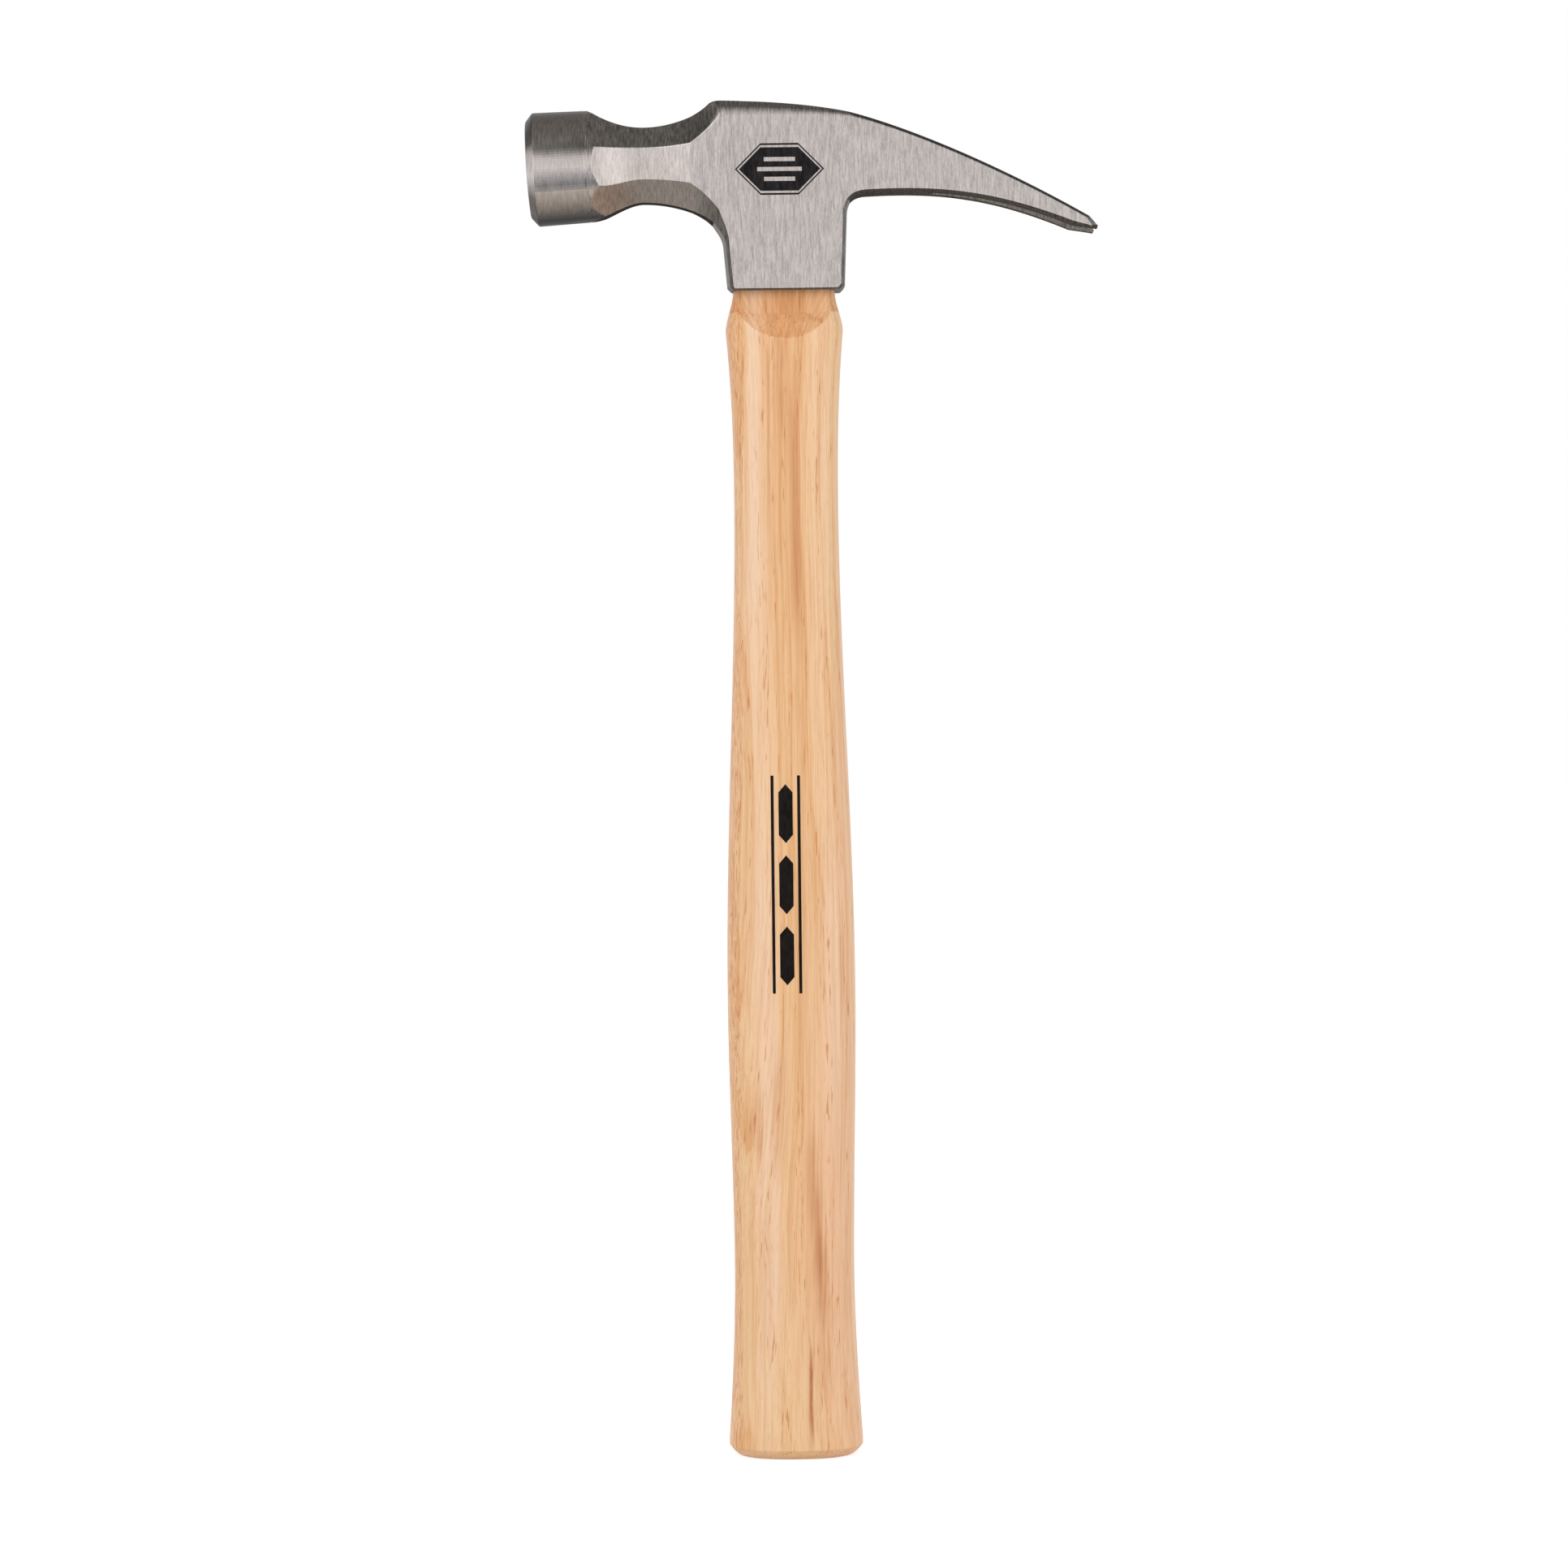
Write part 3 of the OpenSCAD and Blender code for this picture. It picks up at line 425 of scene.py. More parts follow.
def makeHickory():
    # growth rings porous where each starts, long fibres, short pores, stripes up the handle
    material, tree = newMaterial("hickory")
    wood = hickoryFinish
    tones = {name: linear(*colour) for name, colour in wood["tones"].items()}
    straight = objectPlace(tree)
    x, y, z = addNode(tree, "SeparateXYZ", {"Vector": straight}).outputs
    sway = timesPlus(tree, noiseAt(tree, straight, wood["swayGrain"]), wood["sway"], -wood["sway"] / 2)
    lean = times(tree, remap(tree, z, wood["swirlLow"], wood["swirlHigh"], 0.0, wood["swirl"]),
                 remap(tree, x, wood["swirlRight"], wood["swirlLeft"]))
    swayed = plus(tree, x, sway)
    place = makeVector(tree, minus(tree, swayed, lean), y, z)
    fibre, wide, tint, poreGrain, finePore = noises(
        tree, place, wood, "fibre", "wide", "tint", "poreGrain", "finePore")
    ring = ringPlace(tree, place)
    tone = toneRamp(tree, ring, [(0.0, tones["porous"]), (0.15, tones["honey"]), (0.5, tones["pale"]),
                                 (0.88, tones["pale"]), (1.0, tones["honey"])])
    early = toneRamp(tree, ring, [(0.0, 1), (0.22, 0.9), (0.45, 0.2), (1.0, 0.15)])
    tone = mixTone(tree, remap(tree, tint, 0.42, 0.62, 0.0, 0.65), tone, tones["blush"])
    # the edges of the stripes are frayed by the fibres
    frayed = plus(tree, swayed, timesPlus(tree, fibre, wood["fray"], -wood["fray"] / 2))
    for *stripe, name in wood["stripes"]:
        mask = times(tree, stripeMask(tree, frayed, z, *stripe), remap(tree, fibre, 0.38, 0.62, 1.0, 0.6))
        tone = mixTone(tree, mask, tone, tones[name])
    strip = remap(tree, timesPlus(tree, z, -wood["stripLean"], frayed),
                  wood["stripX"] + wood["stripEdge"], wood["stripX"] - wood["stripEdge"])
    tone = mixTone(tree, times(tree, strip, 0.3), tone, tones["porous"])
    pores = times(tree, remap(tree, poreGrain, 0.62, 0.69), calc(tree, "MAXIMUM", early, strip))
    pores = calc(tree, "MAXIMUM", pores, times(tree, remap(tree, finePore, 0.63, 0.7), 0.25))
    pores = calc(tree, "MAXIMUM", pores, times(tree, remap(tree, finePore, 0.56, 0.61, 0.0, 0.85), strip))
    # darker fibres are also redder
    light = plus(tree, remap(tree, fibre, 0.3, 0.7, -0.03, 0.05), remap(tree, wide, 0.3, 0.7, 0.97, 1.03))
    redder = dye(tree, tone, wood["redder"])
    tone = mixTone(tree, remap(tree, fibre, 0.5, 0.34, 0.0, 0.5), tone, redder)
    tone = mixTone(tree, remap(tree, wide, 0.52, 0.36, 0.0, 0.35), tone, redder)
    tone = mixTone(tree, times(tree, pores, 0.75), scaleTone(tree, tone, light), tones["pore"])
    # sawn and scooped places are darker and show the cut fibres as lines that fan out
    raw = addNode(tree, "Attribute", attribute_name="rawCut").outputs["Fac"]
    fan = makeVector(tree, calc(tree, "DIVIDE", x, minus(tree, z, wood["fanZ"])), y, z)
    cutFibre, = noises(tree, fan, wood, "cutFibre")
    rawTone = dye(tree, scaleTone(tree, tone, remap(tree, cutFibre, 0.35, 0.65, 0.88, 1.07)), wood["rawTone"])
    finishSurface(tree, {
        "Base Color": mixTone(tree, raw, tone, rawTone), "Roughness": remap(tree, raw, 0.0, 1.0, 0.42, 0.75),
        "Specular IOR Level": 0.4, "Coat Weight": wood["coat"], "Coat Roughness": wood["coatRough"],
    }, [(fibre, 0.12, wood["fibreDepth"]), (pores, -0.15, wood["fibreDepth"])])
    return material


def makeWedgeWood():
    # dry wood, its fibres along the wedge, lighter and darker in patches
    material, tree = newMaterial("wedgeWood")
    place = objectPlace(tree)
    fibre = noiseAt(tree, place, (260, 2400, 900), 3.0, 0.6)
    patch = noiseAt(tree, place, (150, 300, 150))
    tone = toneRamp(tree, fibre, [(0.3, linear(190, 140, 92)), (0.6, linear(220, 172, 120))])
    tone = scaleTone(tree, tone, remap(tree, patch, 0.3, 0.7, 0.88, 1.08))
    finishSurface(tree, {"Base Color": tone, "Roughness": 0.8}, [(fibre, 0.4, 0.08 * mm)])
    return material


def makeGrainy(name, grain, darkStop, lightStop, rough, settings, bump):
    # one noise gives the tone between two stops, the roughness and the bump
    material, tree = newMaterial(name)
    noise = noiseAt(tree, objectPlace(tree), *grain)
    tone = toneRamp(tree, noise, [(place, linear(*colour)) for place, colour in (darkStop, lightStop)])
    finishSurface(tree, {"Base Color": tone, "Roughness": remap(tree, noise, 0.3, 0.7, *rough), **settings},
                  [(noise, *bump)])
    return material


def makeEtch(name, dark, light):
    # a dark stain in the surface, thinner in places
    return makeGrainy(name, ((900, 900, 300), 3.0, 0.65), (0.35, dark), (0.72, light), (0.42, 0.58),
                      {"Specular IOR Level": 0.05}, (0.15, 0.01 * mm))


forgedSteel = makeForgedSteel()
hickory = makeHickory()
wedgeWood = makeWedgeWood()
wedgeSteel = makeGrainy("wedgeSteel", ((1400, 1400, 1400), 3.0, 0.6), (0.3, (74, 70, 67)),
                        (0.7, (120, 115, 110)), (0.42, 0.62), {"Metallic": 1.0}, (0.4, 0.05 * mm))
etchStain = makeEtch("etchStain", (24, 22, 24), (48, 45, 46))
printInk = makeEtch("printInk", (18, 16, 15), (36, 31, 28))
print("finishes made")


mouthZ = 349.5   # the socket's mouth, above the butt
headSize = {
    # an H is a height over the socket's mouth, an X a distance from the handle's middle, a T a thickness
    "cheekT": 26, "cheekX": 27.3, "cheekTopH": 51.7, "cheekLowH": 24,
    "cheekTopFacet": 8.3, "cheekLowFacet": 7.6, "octagonShare": 0.29,
    "crestX": 21.6, "crestH": 56.5, "crestCornerDrop": 0.8, "crestCornerRun": 3.4, "crestBevel": 2.9,
    "topCrown": 0.5, "frontX": 16.9, "frontLean": 1.1, "frontH": 13.4, "turnH": 19.5, "turnRun": 3,
    "backX": 18.3, "backLean": 0.8, "backH": 23.2, "mouthFrontR": 0.9, "mouthBackR": 1.5,
    "mouthBevel": 0.4, "frontBevel": 1.1, "frontDraft": 1, "backBevel": 0.9, "backDraft": 0.5,
    "clawX": 93.2, "rootX": 20, "rootH": 52.6, "rootBevel": 1, "underX": 24.4, "underH": 28.6,
    "tipH": 17, "tipT": 3.7, "tipNose": 2.5, "tipFlat": 7.5, "tipFlatRise": 1.2, "tipBevel": 1.1,
    "underBevel": 0.3, "underCrown": 0.2,
    # rings for each station, and the share of the claw that its first, closer stations take
    "finer": 5, "rootShare": 0.13,
    # the ten corners are rounded, and two of them more between these stations over the crest
    "sideSteps": 11, "guard": 0.22, "cornerR": [0.3, 0.45, 1.2, 0.45, 0.3, 0.3, 0.5, 1.2, 0.5, 0.3],
    "crestSoftR": [0, 0, 0, 0, 0, 1.3, 0, 0, 0, 1.3], "softIn": (2, 6), "softOut": (25, 16),
}
neckSize = {
    "neckX": 41.4, "topH": 48.8, "lowH": 26.5, "thickness": 22, "flareOver": 1.5, "root": 1.4,
    "pollTopFacet": 11.9, "pollLowFacet": 10.8, "pollSteps": 110, "cheekSteps": 26,
}
pollSize = {
    "neckD": 33.1, "faceD": 33.7, "length": 17.9, "backX": 58.3, "axisH": 37.7, "tilt": 2.9,
    "bevelLength": 2.2, "bevelRim": 2.6, "crownR": 220, "step": 0.04, "edgeR": 0.45,
    "sides": 144, "crownRings": 14, "coreR": 0.02, "backInset": 1.5, "faceInset": 0.8,
}
# the stretches between the places of the top and of the underside: the shares of the curve's two
# handles, its stations, and how many of them lie close together at its start
level = [1 / 3, 1 / 3]
topStretches = [([0.4, 0.3], [0.28, 0.42], 5), ([0.3, 0.7], [0.5, 0], 5), ([0.35, 0.1], [0.3, 0.65], 8),
                ([0.28, 0.17], [0.33, 0.43], 19, 6), (level, level, 1)]
lowStretches = [([0.36, 0.24], [0.34, 0.46], 5), ([0.36, 0.3], [0.12, 0.45], 5), (level, level, 1),
                (level, level, 2), (level, level, 1), ([0.5, 0], [0.3, 0.7], 3), (level, level, 1),
                ([0.1, 0.6], [0.6, 0.05], 6), ([0.38, -0.12], [0.36, 0.88], 12),
                (level, level, 1), (level, level, 1)]


def placeAt(middle, face, rimDepth, rim=None):
    # one place of the side outline at three depths: middle, rim and cheek, as x, height, half thickness
    faceY = headSize["cheekT"] / 2
    return np.array([[*middle, 0], [*(rim or middle), faceY - rimDepth], [*face, faceY]], float)


def topPlaces():
    # from the cheek's upper corner over the crest and along the claw to its nose
    h = headSize
    run, bevel, nose = h["crestCornerRun"], h["tipBevel"], h["clawX"]
    cornerX, tipX, tipTop = run - h["crestX"], nose - h["tipNose"], h["tipH"] + h["tipT"]

    def ridge(x, height, bevelHere, runHere=0):
        # lower at the rim by the crown, and at the cheek by the bevel as well
        rimH = height - h["topCrown"]
        return placeAt([x, height], [x + runHere, rimH - bevelHere], bevelHere, [x, rimH])

    return [
        placeAt([-h["cheekX"], h["cheekTopH"]], [-h["cheekX"], h["cheekTopH"] - h["cheekTopFacet"]],
                h["octagonShare"] * h["cheekT"]),
        ridge(-h["crestX"], h["crestH"] - h["crestCornerDrop"], h["crestBevel"], run),
        ridge(cornerX, h["crestH"], h["crestBevel"], run),
        ridge(h["rootX"], h["rootH"], h["rootBevel"]),
        placeAt([tipX, tipTop], [tipX - bevel, tipTop - bevel / 3], bevel),
        placeAt([nose, h["tipH"] + h["tipT"] / 5], [nose - 2 * bevel, h["tipH"] + h["tipT"] / 3], bevel),
    ]


def lowPlaces():
    # from the cheek's lower corner down the socket's front, round its mouth, up its back and along the claw
    h = headSize
    frontIn, backIn = h["frontDraft"] + h["frontBevel"], h["backDraft"] + h["backBevel"]
    frontR, backR, mouthBevel = h["mouthFrontR"], h["mouthBackR"], h["mouthBevel"]
    turnX, turnH, turnIn = -(h["frontX"] + h["frontLean"] + h["turnRun"]), h["turnH"], h["frontDraft"] / 2
    backRimX, underH = h["backX"] - backR, h["underH"] + h["underCrown"]
    bevel, nose, low = h["tipBevel"], h["clawX"], h["tipH"]
    flatX, flatH = nose - h["tipFlat"], low + h["tipFlatRise"]
    tipLowH = low + bevel * h["tipFlatRise"] / h["tipFlat"]

    def wall(name, side, x, height):
        # drawn in by its draft at the rim, and at the cheek by the bevel as well
        draft, bevelHere = h[name + "Draft"], h[name + "Bevel"]
        return placeAt([side * x, height], [side * (x - draft - bevelHere), height], bevelHere,
                       [side * (x - draft), height])

    return [
        placeAt([-h["cheekX"], h["cheekLowH"]], [-h["cheekX"], h["cheekLowH"] + h["cheekLowFacet"]],
                h["octagonShare"] * h["cheekT"]),
        placeAt([turnX, turnH], [turnX + frontIn, turnH + 2 * frontIn], 2 * h["frontBevel"],
                [turnX + turnIn, turnH + turnIn]),
        wall("front", -1, h["frontX"] + h["frontLean"], h["frontH"]),
        wall("front", -1, h["frontX"], frontR),
        placeAt([frontR - h["frontX"], 0], [frontIn + frontR / 2 - h["frontX"], mouthBevel], mouthBevel,
                [frontR + h["frontDraft"] - h["frontX"], 0]),
        placeAt([backRimX, 0], [backRimX - backIn, mouthBevel], mouthBevel, [backRimX - h["backDraft"], 0]),
        wall("back", 1, h["backX"], backR),
        wall("back", 1, h["backX"] + h["backLean"], h["backH"]),
        placeAt([h["underX"], h["underH"]], [h["underX"], underH + h["underBevel"]], h["underBevel"],
                [h["underX"], underH]),
        placeAt([flatX, flatH], [flatX, flatH + bevel], bevel),
        placeAt([nose - bevel, tipLowH], [nose - 3 * bevel, low + bevel], bevel),
        placeAt([nose - bevel / 4, low], [nose - 2 * bevel, low + h["tipT"] / 5], bevel),
    ]


def followPlaces(places, stretches):
    # the curve through all the places, at the three depths at once
    finer, near = headSize["finer"], headSize["rootShare"]
    line = []
    for start, end, (first, last, stations, *close) in zip(places, places[1:], stretches):
        steps = even(stations * finer)
        for count in close:
            steps = np.interp(steps, [0, count / stations, 1], [0, near, 1])
        line.append(curveThrough(start, end, first, last, steps))
    return np.concatenate(line + [places[-1:]])


def neckLines(x):
    # top and bottom of the eight-sided neck, which flares as the square of the way from its narrowest place
    h, n, p = headSize, neckSize, pollSize
    toPoll = (x + n["neckX"]) / (n["neckX"] - p["backX"])
    toCheek = (x + n["neckX"]) / (n["neckX"] - h["cheekX"])
    pollR = p["neckD"] / 2

    def flare(narrow, atPoll, atCheek, pollPart=toPoll ** 2):
        return np.where(toPoll > 0, blend(narrow, atPoll, pollPart), blend(narrow, atCheek, toCheek ** 2))

    topH = flare(n["topH"], p["axisH"] + pollR, h["cheekTopH"])
    lowH = flare(n["lowH"], p["axisH"] - pollR, h["cheekLowH"], ease(np.minimum(toPoll, 1)))
    narrowFacet = h["octagonShare"] * (n["topH"] - n["lowH"])
    topFacet = flare(narrowFacet, n["pollTopFacet"], h["cheekTopFacet"])
    lowFacet = flare(narrowFacet, n["pollLowFacet"], h["cheekLowFacet"])
    half = flare(n["thickness"] / 2, pollR + n["flareOver"], h["cheekT"] / 2)
    depths = (0 * half, half - 2 * h["octagonShare"] * half, half)

    def line(height, facet):
        heights = (height, height, height + facet)
        return np.stack([np.stack([x, z, y], axis=1) for z, y in zip(heights, depths)], axis=1)

    return line(topH, -topFacet), line(lowH, lowFacet)


def sectionRings(top, low):
    # ten-sided sections: underside, far cheek, top, near cheek
    def corner(line, depth, side):
        x, height, half = line[:, depth].T
        return np.stack([x, side * half, mouthZ + height], axis=1)

    return np.stack([corner(line, depth, side) for line, depth, side in (
        (low, 2, -1), (low, 1, -1), (low, 0, 1), (low, 1, 1), (low, 2, 1),
        (top, 2, 1), (top, 1, 1), (top, 0, 1), (top, 1, -1), (top, 2, -1))], axis=1)


def pollAxis():
    # where the poll's axis leaves the neck, its direction, and the direction up across it
    tilt = math.radians(pollSize["tilt"])
    start = [-pollSize["backX"], 0, mouthZ + pollSize["axisH"]]
    return np.array([start, [-math.cos(tilt), 0, -math.sin(tilt)], [-math.sin(tilt), 0, math.cos(tilt)]])


def trimToPoll(rings):
    # points outside the poll's round are drawn in to it, where the neck runs into the poll; also says
    # how far outside each point was, and how far round from the top, 0 to 1
    start, along, upward = pollAxis()
    trimR = pollSize["neckD"] / 2 - pollSize["step"]
    forward = (rings - start) @ along
    radial = rings - start - forward[..., None] * along
    radius = np.maximum(np.linalg.norm(radial, axis=2), 1e-9)
    nearPoll = rings[..., 0] < -neckSize["neckX"]
    scale = np.where(nearPoll, np.minimum(1, trimR / radius), 1)
    turn = np.arccos(np.clip(radial @ upward / radius, -1, 1)) / math.pi
    outside = np.where(nearPoll, radius - trimR, -1)
    return start + forward[..., None] * along + radial * scale[..., None], outside, turn


# tones of the steel as shown on screen, partly its own finish and partly painted reflection and shade,
# lighter where a place faces the front and darker where it faces up or down; how rough each place is, how
# bare its metal is, and its calm
steelToneAndPaintedLight = {
    "cheek": ((178, 172, 169), 0.42, 1), "neckSide": ((184, 177, 173), 0.4, 1),
    "topFacet": ((122, 117, 112), 0.45, 1), "neckTop": ((112, 107, 102), 0.45, 1),
    "lowFacetPoll": ((138, 123, 112), 0.45, 1, 0.4), "lowFacetCheek": ((124, 117, 110), 0.45, 1, 0.2),
    "lowFacetTurn": ((96, 91, 86), 0.45, 1), "neckUnder": ((70, 66, 62), 0.6, 0),
    "frontWall": ((96, 91, 87), 0.5, 1), "frontDraft": ((98, 93, 89), 0.5, 0.6),
    "mouth": ((92, 88, 84), 0.6, 0.4), "backWall": ((112, 107, 103), 0.45, 1),
    "backDraft": ((92, 88, 84), 0.5, 0.5), "crestBevel": ((112, 107, 103), 0.48, 1),
    "crestTop": ((126, 121, 116), 0.48, 1), "clawEdge": ((80, 76, 72), 0.5, 1),
    "clawTop": ((150, 145, 141), 0.42, 1), "underBevel": ((74, 70, 66), 0.6, 0.2),
    "under": ((92, 87, 83), 0.7, 0), "tip": ((132, 127, 123), 0.42, 1), "tipLow": ((66, 62, 59), 0.5, 0.5),
    "tipFlat": ((86, 82, 78), 0.6, 0), "eyeWall": ((92, 86, 80), 0.65, 0.5),
    "notchWall": ((112, 107, 102), 0.5, 1), "face": ((186, 182, 178), 0.38, 1),
}
neckStart, clawEnd = -math.inf, math.inf
# the looks round the sections: which of their ten sides, and between which stations of the head
bottomSides, lowerSides, cheekSides, upperSides, topSides = (1, 2), (0, 3), (4, 9), (5, 8), (6, 7)
steelPlaces = [
    ("neckSide", cheekSides, neckStart, 0), ("cheek", cheekSides, 0, clawEnd),
    ("topFacet", upperSides, neckStart, 5), ("crestBevel", upperSides, 5, 18),
    ("clawEdge", upperSides, 18, 37), ("neckTop", topSides, neckStart, 5), ("crestTop", topSides, 5, 18),
    ("clawTop", topSides, 18, 37), ("tip", upperSides + topSides, 37, clawEnd),
    ("neckUnder", bottomSides, neckStart, 5), ("frontDraft", bottomSides, 5, 11),
    ("lowFacetPoll", lowerSides, neckStart, 5), ("frontWall", lowerSides, 5, 11),
    ("mouth", bottomSides + lowerSides, 11, 17),
    ("backDraft", bottomSides, 17, 20), ("under", bottomSides, 20, 36),
    ("backWall", lowerSides, 17, 20), ("underBevel", lowerSides, 20, 36),
    ("tipFlat", bottomSides + lowerSides, 36, clawEnd),
]
fadeSize = {
    # x at which the lower facet turns from the poll's brown to grey, and then darker towards the socket as
    # painted shade
    "toGrey": (-57, -39), "toDark": (-27, -20),
    # x at which the top facets are painted darker, as shade, as they rise to the crest
    "rise": (-33.3, -24.3), "riseShade": 0.52,
    # stations in which the crest's dark bevel, a painted shade, fades in and out again along the cheek's edge
    "crestIn": (3, 6), "crestOut": (24, 16),
    # width of the soft edge round the place where the poll's turning has cut the neck
    "trimEdge": 0.12,
}


def look(name):
    colour, rough, bare, *calm = steelToneAndPaintedLight[name]
    return linear(*colour), np.array([rough, bare, *(calm or [0])])


def steelPaint(name):
    return dict(zip(("steelTone", "steelFinish"), look(name)))


def atCorners(values):
    # values at the rings' points, gathered for the four corners of each quad
    right = np.roll(values, -1, axis=1)
    return np.stack([values[:-1], right[:-1], right[1:], values[1:]], axis=2)


def forgingPaint(ringX, neckCount, sides, outside, turn):
    # a tone and a finish for each face, by its side of the section and its station along the head; the
    # tones have a value for each of the face's two edges, so that they can fade across it
    f = fadeSize
    perCorner = sides // 10
    corner, part = np.divmod(np.arange(sides), perCorner)
    sideOf = np.where(part < 2, corner - 1, corner) % 10
    station = (np.arange(len(ringX) - 1) - neckCount) / headSize["finer"]
    x = (ringX[:-1] + ringX[1:]) / 2
    tones = np.zeros((len(station), sides, 3))
    finishes = np.zeros_like(tones)
    for name, onSides, first, last in steelPlaces:
        where = np.ix_((station >= first) & (station < last), np.isin(sideOf, onSides))
        tones[where], finishes[where] = look(name)

    def overNeck(onSides):
        return np.ix_(station < 5, np.isin(sideOf, onSides))

    # painted shade: the neck's lower facet goes from brown through grey to dark towards the socket, and the
    # top facets darken as they rise
    toGrey, toDark, rising = (ease(share(x, *f[name]))[:, None] for name in ("toGrey", "toDark", "rise"))
    brown, grey, dark = (look(name)[0] for name in ("lowFacetPoll", "lowFacetCheek", "lowFacetTurn"))
    lowTone = blend(blend(brown, grey, toGrey), dark, toDark)
    tones[overNeck(lowerSides)] = lowTone[station < 5][:, None]
    tones[overNeck(upperSides + topSides)] *= blend(1, f["riseShade"], rising)[station < 5][..., None]
    both = np.stack([tones, tones], axis=2)
    # painted shade along the crest: across the rounded edge the tone runs from the cheek's to the dark
    # bevel's
    fade = np.minimum(share(station, *f["crestIn"]), share(station, *f["crestOut"]))
    cheekTone, flatPart = look("cheek")[0], perCorner // 2 - 1
    for edge, bevelSide, steps in ((5, 5, (0, 1, 2, 3, 4)), (9, 8, (4, 3, 2, 1, 0))):
        bevelTone = tones[:, bevelSide * perCorner + flatPart]
        for column in range(4):
            c = edge * perCorner + column
            for end in (0, 1):
                edgeTone = blend(cheekTone, bevelTone, ease(steps[column + end] / 4))
                both[:, c, end] = blend(tones[:, c], edgeTone, fade[:, None])
    # what the turning of the poll has cut belongs to the poll, and takes its painted reflection bands
    cut = atCorners(np.clip(outside / f["trimEdge"] + 0.5, 0, 1)[..., None])
    finishes = blend(finishes[:, :, None], atCorners(pollFinish(turn, 0)), cut)
    return blend(both[:, :, [0, 1, 1, 0]], atCorners(pollReflectionTone(turn, "wall")), cut), finishes


def makeForging():
    # the neck's and the head's sections rounded, trimmed to the poll and joined ring to ring
    h, n, p = headSize, neckSize, pollSize
    top, low = followPlaces(topPlaces(), topStretches), followPlaces(lowPlaces(), lowStretches)
    neckX = np.concatenate([blend(-p["backX"] - n["root"], -n["neckX"], even(n["pollSteps"])),
                            blend(-n["neckX"], -h["cheekX"], even(n["cheekSteps"]))])
    neckTop, neckLow = neckLines(neckX)
    rings = sectionRings(np.concatenate([neckTop, top]), np.concatenate([neckLow, low]))
    station = (np.arange(len(rings)) - len(neckX)) / h["finer"]
    onCrest = np.minimum(share(station, *h["softIn"]), share(station, *h["softOut"]))[:, None]
    radii = np.array(h["cornerR"]) + onCrest * np.array(h["crestSoftR"])
    rings, outside, turn = trimToPoll(roundRings(rings, radii, h["sideSteps"], h["guard"]))
    mesh = skin("forging", rings)
    sides = rings.shape[1]
    painted = forgingPaint(rings[:, 0, 0], len(neckX), sides, outside, turn)
    for (layer, endValue), values in zip(steelPaint("tip").items(), painted):
        paintCorners(mesh, layer, np.concatenate([values.reshape(-1, 3), np.tile(endValue, (2 * sides, 1))]))
    faceOutward(mesh)
    return addPiece("hammerHead", mesh), low[:, 0]


pollReflectionAndFinish = {
    # painted reflections, dark overhead, bright round the middle and dark underneath: tones from the top of
    # the poll (0) to its underside (1), the same on both sides
    "wall": [(0, (104, 100, 95)), (0.1, (116, 111, 106)), (0.26, (134, 126, 119)), (0.35, (122, 116, 111)),
             (0.39, (98, 94, 90)), (0.415, (98, 94, 90)), (0.44, (134, 129, 126)), (0.47, (178, 171, 168)),
             (0.52, (188, 181, 178)), (0.57, (146, 142, 141)), (0.615, (112, 110, 110)),
             (0.645, (130, 126, 123)), (0.66, (154, 146, 139)), (0.74, (132, 123, 115)),
             (0.785, (112, 105, 98)), (0.84, (70, 66, 63)), (0.9, (50, 47, 45)), (1, (40, 38, 37))],
    "bevel": [(0, (64, 60, 57)), (0.3, (60, 57, 54)), (0.37, (84, 80, 77)), (0.43, (176, 171, 168)),
              (0.56, (196, 191, 188)), (0.63, (150, 146, 143)), (0.7, (98, 93, 89)), (0.85, (64, 60, 57)),
              (1, (40, 38, 37))],
    # the underside turns dull between these places
    "toDull": (0.8, 0.88), "dullBareness": 0.1, "rough": 0.4, "calm": 0.5,
}


def pollReflectionTone(turn, name):
    places, colours = zip(*pollReflectionAndFinish[name])
    shades = np.array([linear(*colour) for colour in colours])
    return np.stack([np.interp(turn, places, shades[:, k]) for k in range(3)], axis=-1)


def pollFinish(turn, calm):
    bare = blend(1, pollReflectionAndFinish["dullBareness"], ease(share(turn, *pollReflectionAndFinish["toDull"])))
    return np.stack([np.full_like(turn, pollReflectionAndFinish["rough"]), bare, np.full_like(turn, calm)], axis=-1)


